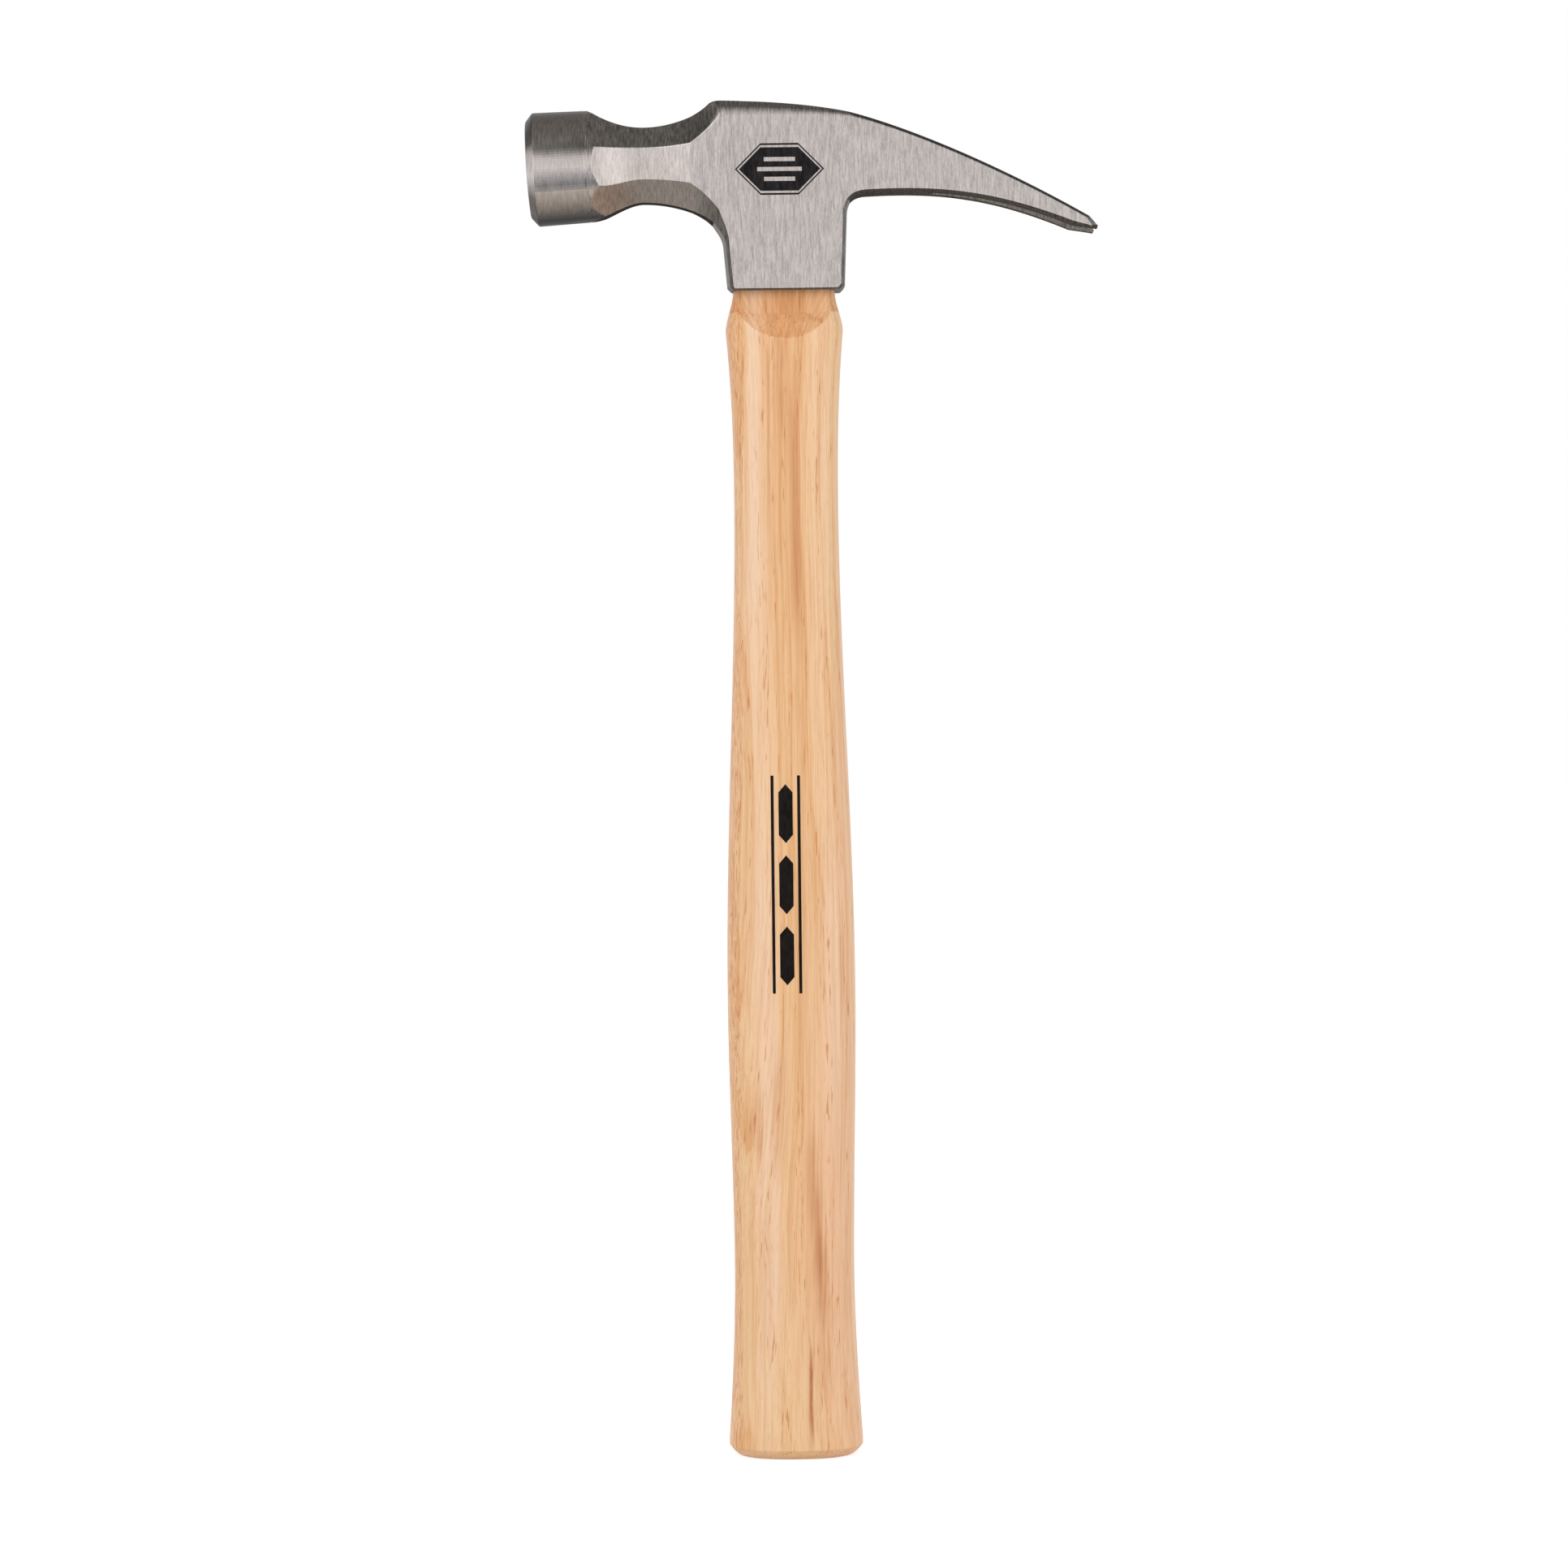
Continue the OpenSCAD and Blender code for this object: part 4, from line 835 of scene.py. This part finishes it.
def makePoll():
    # a profile of radius and distance carried round the leaning axis, ending in a crowned face
    p = pollSize
    start, along, upward = pollAxis()
    neckR, edgeR, faceR = p["neckD"] / 2, p["faceD"] / 2, p["faceD"] / 2 - p["bevelRim"]

    def crownForward(radius):
        return p["length"] - p["crownR"] + np.sqrt(p["crownR"] ** 2 - radius ** 2)

    rimForward = crownForward(faceR)
    bevelForward = rimForward - p["bevelLength"]
    walls = roundPath([
        [neckR - p["backInset"], -p["step"]], [neckR, -p["step"]], [edgeR, bevelForward],
        [faceR, rimForward], [faceR - 3, rimForward + 0.12]], p["edgeR"], 5)[:-1]
    crownRadii = np.linspace(faceR - p["faceInset"], p["coreR"], p["crownRings"])
    crown = np.stack([crownRadii, crownForward(crownRadii)], axis=1)
    profile = np.concatenate([walls, crown])
    angle = 2 * math.pi * even(p["sides"])
    radial = np.cos(angle)[:, None] * upward + np.sin(angle)[:, None] * np.array([0, 1, 0])
    mesh = skin("poll", start + profile[:, 1][:, None, None] * along + profile[:, 0][:, None, None] * radial)
    turn = np.abs(((angle + math.pi / p["sides"]) / math.pi + 1) % 2 - 1)
    radius, forward = ((profile[:-1] + profile[1:]) / 2).T
    onEnd = forward > bevelForward
    onBevel, onFace = onEnd & (radius > faceR - 0.1), onEnd & (radius <= faceR - 0.1)
    # the wall and its bevel get the painted reflection bands, the face its own bright tone
    tones = np.repeat(pollReflectionTone(turn, "wall")[None], len(radius), axis=0)
    finishes = np.repeat(pollFinish(turn, pollReflectionAndFinish["calm"])[None], len(radius), axis=0)
    tones[onBevel] = pollReflectionTone(turn, "bevel")
    for (layer, faceValue), values in zip(steelPaint("face").items(), (tones, finishes)):
        values[onFace] = faceValue
        paint(mesh, layer, np.concatenate([values.reshape(-1, 3), [faceValue, faceValue]]))
    faceOutward(mesh)
    return addPiece("poll", mesh)


eyeSize = {
    "mouthW": 30.4, "mouthT": 19.4, "waistW": 27.8, "waistT": 18, "waistH": 25, "topW": 31, "topT": 20.6,
    "ovalT": 26, "shape": 2.9, "gap": 0.05, "sink": 0.5, "sides": 72,
}


def ovalRings(width, thickness, flat, shape, z, sides):
    # superellipses cut flat on both cheeks; one ring for each height
    def column(value):
        return np.broadcast_to(value, z.shape)[:, None]

    angle = 2 * math.pi * even(sides)
    c, s = np.cos(angle), np.sin(angle)
    power = 2 / column(shape)
    x = column(width) / 2 * np.sign(c) * np.abs(c) ** power
    y = np.sign(s) * np.minimum(column(thickness) / 2 * np.abs(s) ** power, column(flat) / 2)
    return np.stack([x, y, np.broadcast_to(z[:, None], x.shape)], axis=2)


def eyeSizeAt(h, kind):
    # width or thickness; narrows to a waist and widens again, both as a square
    e = eyeSize
    mouth, waist, top = (e[place + kind] for place in ("mouth", "waist", "top"))
    above = blend(waist, top, ((h - e["waistH"]) / (headSize["crestH"] - e["waistH"])) ** 2)
    return np.where(h < e["waistH"], blend(waist, mouth, (1 - h / e["waistH"]) ** 2), above)


def eyeRings(h, gap):
    # the eye's sections at some heights, smaller by a gap all round
    e = eyeSize
    return ovalRings(eyeSizeAt(h, "W") - 2 * gap, e["ovalT"], eyeSizeAt(h, "T") - 2 * gap, e["shape"],
                     mouthZ + h, e["sides"])


def makeEyeCutter():
    rings = eyeRings(np.linspace(0, headSize["crestH"], 24), 0)
    rings = np.concatenate([rings[:1] - [0, 0, 1], rings, rings[-1:] + [0, 0, 1]])
    return addCutter("eyeCutter", rings, steelPaint("eyeWall"))


notchSize = {
    "length": 47, "width": 12.6, "rootW": 2.4, "lean": 26, "bevel": 1.5, "bevelDepth": 1.6,
    "beyond": 40, "reach": 60, "rootCuts": 17, "bevelCuts": 40, "overlap": 0.02,
}


def notchHalf(along):
    # half width of the notch at a distance along the claw's own direction
    n = notchSize
    fromRoot = (along - headSize["clawX"] + n["length"]) / n["length"]
    return blend(n["rootW"], n["width"], fromRoot) / 2


def makeNotchCutter():
    # round root and straight walls, leaning with the claw
    n, h = notchSize, headSize
    lean = math.radians(n["lean"])
    turn = np.linspace(math.pi / 2, 3 * math.pi / 2, n["rootCuts"])
    endHalf = notchHalf(h["clawX"] + n["beyond"])
    u = np.concatenate([[n["beyond"]], n["rootW"] / 2 * np.cos(turn) - n["length"], [n["beyond"]]])
    y = np.concatenate([[endHalf], n["rootW"] / 2 * np.sin(turn), [-endHalf]])
    rings = [np.stack([h["clawX"] + u * math.cos(lean) + w * math.sin(lean), y,
                       mouthZ + h["tipH"] - u * math.sin(lean) + w * math.cos(lean)], axis=1)
             for w in (-n["reach"], n["reach"])]
    return addCutter("notchCutter", np.array(rings), steelPaint("notchWall"))


def makeNotchBevelCutter(underLine):
    # trapezoid sections along the underside of the claw, wider below
    n, h = notchSize, headSize
    lean = math.radians(n["lean"])
    under = underLine[underLine[:, 0] >= h["underX"]]
    x = np.linspace(h["clawX"] - n["length"] - n["bevel"], h["clawX"] + 1, n["bevelCuts"])
    height = np.interp(x, under[:, 0], under[:, 1])
    rise = height + n["bevelDepth"] - h["tipH"]
    inner = notchHalf(h["clawX"] + (x - h["clawX"]) * math.cos(lean) - rise * math.sin(lean))
    inner = np.maximum(inner, n["rootW"] / 2) - n["overlap"]
    inner[0] -= n["bevel"] / 2
    outer = inner + n["bevel"] * (1 + 1 / n["bevelDepth"])
    low, high = mouthZ + height - 1, mouthZ + height + n["bevelDepth"]
    corners = ((-outer, low), (outer, low), (inner, high), (-inner, high))
    rings = np.stack([np.stack([x, y, z], axis=1) for y, z in corners], axis=1)
    return addCutter("notchBevelCutter", rings, steelPaint("notchWall"))


# the ground corner is painted dark as shade up to the height given here over the mouth
cornerSize = {"length": 2.1, "width": 1.5, "paintedShadeH": 18.1, "over": 1, "reach": 50}


def makeCornerCutter(side):
    # the outer corner ground off one tip, painted dark as shade in its lower part and lighter as a painted
    # reflection above
    c, claw, cheek = cornerSize, headSize["clawX"], headSize["cheekT"] / 2
    startX, endY, over = claw - c["length"], cheek - c["width"], c["over"]
    outline = np.array([[startX, cheek + over], [startX, cheek], [claw, endY],
                        [claw + over, endY - over * c["width"] / c["length"]], [claw + over, cheek + over]])
    heights = (-c["reach"], c["paintedShadeH"], c["reach"])
    rings = np.array([np.insert(outline * [1, side], 2, mouthZ + h, axis=1) for h in heights])
    # five walls low, five high, and then the two ends
    isLow = np.repeat([True, False, True, False], [5, 5, 1, 1])[:, None]
    low, high = steelPaint("tipLow"), steelPaint("tip")
    wallPaint = {layer: np.where(isLow, low[layer], high[layer]) for layer in low}
    return addCutter("cornerCutter", rings, wallPaint)


head, underLine = makeForging()
cutAway(head, [makeEyeCutter(), makeNotchCutter(), makeNotchBevelCutter(underLine),
               makeCornerCutter(1), makeCornerCutter(-1)])
joinPieces(head, makePoll())
finishPiece(head, forgedSteel)
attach(head, "root")
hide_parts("head")
print("head made", len(head.data.polygons), "faces")


gripSize = {
    "buttW": 40.3, "buttT": 28.4, "buttZ": 5.2, "buttBevel": 4, "buttBevelH": 3.2, "bevelRings": 12,
    "heelW": 36.1, "heelT": 25.8, "heelZ": 56, "palmW": 38.5, "palmT": 27, "palmZ": 140,
    "waistW": 31.1, "waistT": 23.8, "waistDrop": 61.5, "shoulderW": 35, "shoulderT": 26, "shoulderDrop": 12.1,
    "scoopDrop": 16, "scoopFlat": 0.42, "collarDrop": 6.6,
    "buttOval": 2.3, "shoulderOval": 2.9, "buttFlare": 1.7, "shoulderFlare": 2.3, "sides": 160,
    # heights of the rings: the first ones, then from, to and how many; the last row runs to the mouth
    "firstRings": [3.2, 3.35, 3.6], "rows": [(4, 60, 60), (61.5, 325, 130)], "lastRow": (326, 90),
    # how raw the wood is at the butt's bevel, at its flat end and at the top
    "rawBevel": 0.15, "rawButt": 0.7, "rawTop": 0.5,
}


def gripSizeAt(z, kind, mouth):
    # width or thickness; flared at the butt and the shoulders, eased between the other places
    g, places = gripSize, ("butt", "heel", "palm", "waist", "shoulder")
    butt, heel, palm, waist, shoulder = (g[place + kind] for place in places)
    waistZ, shoulderZ = mouthZ - g["waistDrop"], mouthZ - g["shoulderDrop"]
    return np.select(
        [z < g["heelZ"], z < g["palmZ"], z < waistZ, z < shoulderZ],
        [blend(heel, butt, share(z, g["heelZ"], g["buttZ"]) ** g["buttFlare"]),
         blend(heel, palm, ease(share(z, g["heelZ"], g["palmZ"]))),
         blend(palm, waist, ease(share(z, g["palmZ"], waistZ))),
         blend(waist, shoulder, share(z, waistZ, shoulderZ) ** g["shoulderFlare"])],
        blend(shoulder, mouth, ease(share(z, shoulderZ, mouthZ))))


def gripOval(z):
    # width, thickness and squareness of the grip at a height
    g, e = gripSize, eyeSize
    return (gripSizeAt(z, "W", e["mouthW"] - 2 * e["gap"]), gripSizeAt(z, "T", g["shoulderT"]),
            blend(g["buttOval"], g["shoulderOval"], z / mouthZ))


def gripRings(z):
    # ovals up the grip; the scoops are flat under the head, then run out in a parabola;
    # the wood is raw there and all round just under the head
    g, e, drop = gripSize, eyeSize, mouthZ - z
    width, thick, shape = gripOval(z)
    rings = ovalRings(width, thick, g["buttW"], shape, z, g["sides"])
    scoopRise = (g["shoulderT"] - e["mouthT"]) / 2
    below = (drop / g["scoopDrop"] - g["scoopFlat"]) / (1 - g["scoopFlat"])
    limit = e["mouthT"] / 2 + scoopRise * (1 - (1 - np.clip(below, 0, 1)) ** 2)
    limit = np.where(below < 1, limit, g["buttW"])[:, None]
    y = rings[..., 1]
    raw = (np.abs(y) > limit) | (drop < g["collarDrop"])[:, None]
    rings[..., 1] = np.sign(y) * np.minimum(np.abs(y), limit)
    return rings, raw.astype(float)


def makeGrip():
    # the butt's bevel, half way between a straight cut and a quarter round, and the grip above it
    g = gripSize
    lastZ, lastCount = g["lastRow"]
    rows = g["rows"] + [(lastZ, mouthZ - eyeSize["gap"], lastCount)]
    rings, raw = gripRings(np.concatenate([g["firstRings"]] + [np.linspace(*row) for row in rows]))
    inset = 2 * g["buttBevel"]
    flatEnd = ovalRings(g["buttW"] - inset, g["buttT"] - inset, g["buttW"], g["buttOval"],
                        np.zeros(1), g["sides"])
    up = even(g["bevelRings"])[:, None, None]
    outward = (up + np.sqrt(1 - (1 - up) ** 2)) / 2
    bevel = flatEnd + (rings[0] - flatEnd) * np.concatenate([outward, outward, up], axis=2)
    mesh = skin("grip", np.concatenate([bevel, rings]))
    raw = np.concatenate([np.full(bevel.shape[:2], g["rawBevel"]), raw])
    faceRaw = np.append((raw[:-1] + raw[1:]) / 2, [g["rawButt"], g["rawTop"]])
    paint(mesh, "rawCut", faceRaw[:, None])
    faceOutward(mesh)
    return addPiece("hickoryHandle", mesh)


wedgeSize = {
    "woodW": 27, "woodTopT": 4.4, "woodTipT": 1, "woodDepth": 34,
    "steelW": 15.5, "steelTopT": 3, "steelTipT": 1.2, "steelDepth": 19, "spacing": 13.5, "clear": 3,
}


def tongueEndH(x):
    # height of the tongue's sloping end above the mouth
    h = headSize
    fromCrest = (x + h["crestX"]) / (h["rootX"] + h["crestX"])
    return blend(h["crestH"], h["rootH"], fromCrest) - h["topCrown"] - eyeSize["sink"]


def makeSlotCutter(kind, centreX, alongX, topH):
    # tapered slot for a wedge, from its tip to clear above the tongue's end
    w, gap = wedgeSize, eyeSize["gap"]
    halfTop, halfTip, halfW = (w[kind + part] / 2 + gap for part in ("TopT", "TipT", "W"))
    depth = w[kind + "Depth"] + gap
    halfClear = halfTop + (halfTop - halfTip) / depth * w["clear"]
    rings = []
    for half, h in ((halfTip, topH - depth), (halfClear, topH + w["clear"])):
        corners = np.array([[-halfW, -half], [halfW, -half], [halfW, half], [-halfW, half]])
        x, y = corners.T if alongX else corners.T[::-1]
        rings.append(np.stack([x + centreX, y, np.full(4, mouthZ + h)], axis=1))
    return addCutter("slot", np.array(rings), {"rawCut": np.ones(3)})


def makeTongue():
    # eye-shaped rings a hair smaller than the eye, with a sloping end and slots for the wedges
    e, spacing = eyeSize, wedgeSize["spacing"]
    rings = eyeRings(np.linspace(0, tongueEndH(e["topW"] / 2), 22), e["gap"])
    rings = np.concatenate([rings[:1] - [0, 0, 3], rings])
    rings[-1, :, 2] = mouthZ + tongueEndH(rings[-1, :, 0])
    mesh = skin("tongue", rings)
    paint(mesh, "rawCut", np.ones(3))
    faceOutward(mesh)
    tongue = addPiece("tongue", mesh)
    cutters = [makeSlotCutter("wood", 0, True, tongueEndH(0))]
    for x in (-spacing / 2, spacing / 2):
        cutters.append(makeSlotCutter("steel", x, False, tongueEndH(x) - e["sink"] / 2))
    cutAway(tongue, cutters)
    return tongue


handle = makeGrip()
joinPieces(handle, makeTongue())
finishPiece(handle, hickory)
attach(handle, "root")
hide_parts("handle")
print("handle made", len(handle.data.polygons), "faces")


for nodeName, material in (("wooden_wedge", wedgeWood), ("steel_wedge_face_side", wedgeSteel),
                           ("steel_wedge_claw_side", wedgeSteel)):
    dress(frame["nodes"][nodeName], material)
print("wedges finished")


markLift = 0.03   # how far the thin marks stand off the surface
panelSize = {
    "x": -0.9, "z": 384.9, "halfW": 13.2, "halfH": 7.6, "rim": 0.55, "inset": 1.2,
    "barHalfH": 0.62, "barSpacing": 2.9, "barHalfW": [4.6, 6.6, 4.6],
}
printSize = {
    "x": -1.2, "z": 173, "halfW": 4.4, "halfH": 32.5, "edgeW": 0.9,
    "barStart": 2.5, "barLength": 17.5, "barGap": 3.7, "barHalfW": 2.1, "pointLength": 2.4,
    "pointShare": 0.02,
}


def cheekPatch(name, outline, faces=None):
    # a flat patch on the near cheek
    points = np.insert(np.array(outline) + [panelSize["x"], panelSize["z"]], 1,
                       -headSize["cheekT"] / 2 - markLift, axis=1)
    return addPiece(name, makeMesh(name, points, faces or [list(range(len(points)))]))


def lozenge(inset):
    # six-sided outline, longer than high, with points at its ends
    halfW, halfH = panelSize["halfW"] - inset, panelSize["halfH"] - inset
    shoulder = halfW - halfH
    return [[-halfW, 0], [-shoulder, -halfH], [shoulder, -halfH],
            [halfW, 0], [shoulder, halfH], [-shoulder, halfH]]


def makeEtchedPanel():
    # rim, a bare line, and a dark field left bare in three bars
    p = panelSize
    rimFaces = [[k, (k + 1) % 6, (k + 1) % 6 + 6, k + 6] for k in range(6)]
    pieces = [cheekPatch("etchedPanel", lozenge(0) + lozenge(p["rim"]), rimFaces)]
    halfW, halfH = p["halfW"] - p["inset"], p["halfH"] - p["inset"]
    bars = [k * p["barSpacing"] + end for k in (-1, 0, 1) for end in (-p["barHalfH"], p["barHalfH"])]
    heights = [-halfH, *bars, halfH]
    for k, (low, high) in enumerate(zip(heights, heights[1:])):
        tip = [(halfW, 0)] if low < 0 < high else []
        side = [(halfW - abs(low), low)] + tip + [(halfW - abs(high), high)]
        if k % 2:
            # a band with a bar left out of its middle
            bar = p["barHalfW"][k // 2]
            right = [(bar, low)] + side + [(bar, high)]
            outlines = [[(-x, z) for x, z in right[::-1]], right]
        else:
            outlines = [[(-side[0][0], low)] + side + [(-side[-1][0], high)]]
        pieces += [cheekPatch("field", outline) for outline in outlines]
    joinPieces(*pieces)
    return pieces[0]


def gripPatch(name, z, x, halfWidth, columns):
    # a strip that lies on the near side of the grip, where the oval's formula is solved for y
    width, thick, shape = gripOval(z[:, None])
    x = x + (halfWidth * np.ones_like(z))[:, None] * np.linspace(-1, 1, columns)
    y = -thick / 2 * (1 - np.abs(2 * x / width) ** shape) ** (1 / shape) - markLift
    points = np.stack([x, y, np.broadcast_to(z[:, None], x.shape)], axis=2)
    index = np.arange(x.size).reshape(x.shape)
    faces = np.stack([index[:-1, :-1], index[:-1, 1:], index[1:, 1:], index[1:, :-1]], axis=-1).reshape(-1, 4)
    return addPiece(name, makeMesh(name, points, faces.tolist()))


def makeHandlePrint():
    # two hairlines with pointed bars between them
    p = printSize
    low, high = p["z"] - p["halfH"], p["z"] + p["halfH"]
    lineX, z = p["halfW"] - p["edgeW"] / 2, np.linspace(low, high, 40)
    pieces = [gripPatch("handlePrint", z, p["x"] + side * lineX, p["edgeW"] / 2, 3) for side in (-1, 1)]
    for k in range(3):
        start = low + p["barStart"] + k * (p["barLength"] + p["barGap"])
        z = np.linspace(start, start + p["barLength"], 30)
        fromEnd = np.minimum(z - z[0], z[-1] - z) / p["pointLength"]
        pieces.append(gripPatch("bar", z, p["x"], p["barHalfW"] * np.clip(fromEnd, p["pointShare"], 1), 7))
    joinPieces(*pieces)
    return pieces[0]


panel = makeEtchedPanel()
inkMarks = makeHandlePrint()
for piece, material, slot in ((panel, etchStain, "forged_steel"), (inkMarks, printInk, "hickory")):
    dress(piece, material)
    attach(piece, "root")
print("marks made")


stageSize = {
    "floorHalf": 4000, "floorStops": [(0.3, 0.78), (0.7, 0.8)], "floorGlow": 0.62,
    # greys of the sky, by the upward part of the direction
    "skyStops": [(0.0, 1), (0.34, 1), (0.75, 0.4), (1.0, 0.4)],
    # lamps: place and power; both are this wide and look at this point, in metres
    "lamps": {"keyLamp": ((-0.9, -1.3, 1.3), 8), "fillLamp": ((1.1, -1.2, 0.7), 4)},
    "lampWidth": 1.2, "lampTarget": (0, 0, 0.2),
    # the camera's place and what it looks at, in metres, its roll, and the size of a pixel there
    "eye": (-0.0016, -1.400, 0.270), "aim": (-0.00158, 0, 0.20235), "roll": -0.638,
    "pixel": 0.24355, "imageWidth": 1932, "sensor": 36,
}


def makeFloor():
    # a pale square that takes shadows; the camera and reflections also see it glow
    half = stageSize["floorHalf"]
    corners = np.array([(-half, -half, 0), (half, -half, 0), (half, half, 0), (-half, half, 0)])
    floor = addPiece("floor", makeMesh("floor", corners, [(0, 1, 2, 3)]))
    material, tree = newMaterial("paleFloor")
    tone = toneRamp(tree, noiseAt(tree, objectPlace(tree), (30, 30, 30)), stageSize["floorStops"])
    plain = addNode(tree, "BsdfDiffuse", {"Color": tone})
    path = addNode(tree, "LightPath").outputs
    seen = calc(tree, "MAXIMUM", path["Is Camera Ray"],
                calc(tree, "MAXIMUM", path["Is Glossy Ray"], path["Is Transmission Ray"]))
    glow = addNode(tree, "Emission", {"Strength": times(tree, seen, stageSize["floorGlow"])})
    total = addNode(tree, "AddShader", {0: plain.outputs[0], 1: glow.outputs[0]})
    addNode(tree, "OutputMaterial", {"Surface": total.outputs[0]})
    floor.data.materials.append(material)
    return floor


def makeSky():
    # white round the horizon, darker overhead, as a studio ceiling is
    world = bpy.data.worlds.new("studio")
    world.use_nodes = True
    tree = world.node_tree
    tree.nodes.clear()
    direction = addNode(tree, "TexCoord").outputs["Generated"]
    height = addNode(tree, "SeparateXYZ", {"Vector": direction}).outputs["Z"]
    tone = toneRamp(tree, height, stageSize["skyStops"])
    light = addNode(tree, "Background", {"Color": tone, "Strength": 1.0})
    addNode(tree, "OutputWorld", {"Surface": light.outputs[0]})
    bpy.context.scene.world = world


def makeLamp(name, place, power):
    # a square area lamp turned to the target
    data = bpy.data.lights.new(name, "AREA")
    data.shape = "SQUARE"
    data.size = stageSize["lampWidth"]
    data.energy = power
    lamp = bpy.data.objects.new(name, data)
    lamp.location = place
    away = Vector(stageSize["lampTarget"]) - Vector(place)
    lamp.rotation_euler = away.to_track_quat("-Z", "Y").to_euler()
    bpy.context.scene.collection.objects.link(lamp)


def makeCamera():
    # the focal length makes a pixel at the target the size that it is in the photograph
    s = stageSize
    eye, aim = Vector(s["eye"]), Vector(s["aim"])
    data = bpy.data.cameras.new("camera")
    data.sensor_width = s["sensor"]
    data.lens = s["sensor"] * (aim - eye).length / (s["pixel"] * mm * s["imageWidth"])
    camera = bpy.data.objects.new("camera", data)
    turn = (aim - eye).to_track_quat("-Z", "Y").to_matrix().to_4x4()
    camera.matrix_world = Matrix.Translation(eye) @ turn @ Matrix.Rotation(math.radians(s["roll"]), 4, "Z")
    bpy.context.scene.collection.objects.link(camera)
    bpy.context.scene.camera = camera


floor = makeFloor()
makeSky()
for lampName, (lampPlace, lampPower) in stageSize["lamps"].items():
    makeLamp(lampName, lampPlace, lampPower)
makeCamera()
bpy.context.scene.view_settings.view_transform = "Standard"
print("studio made")
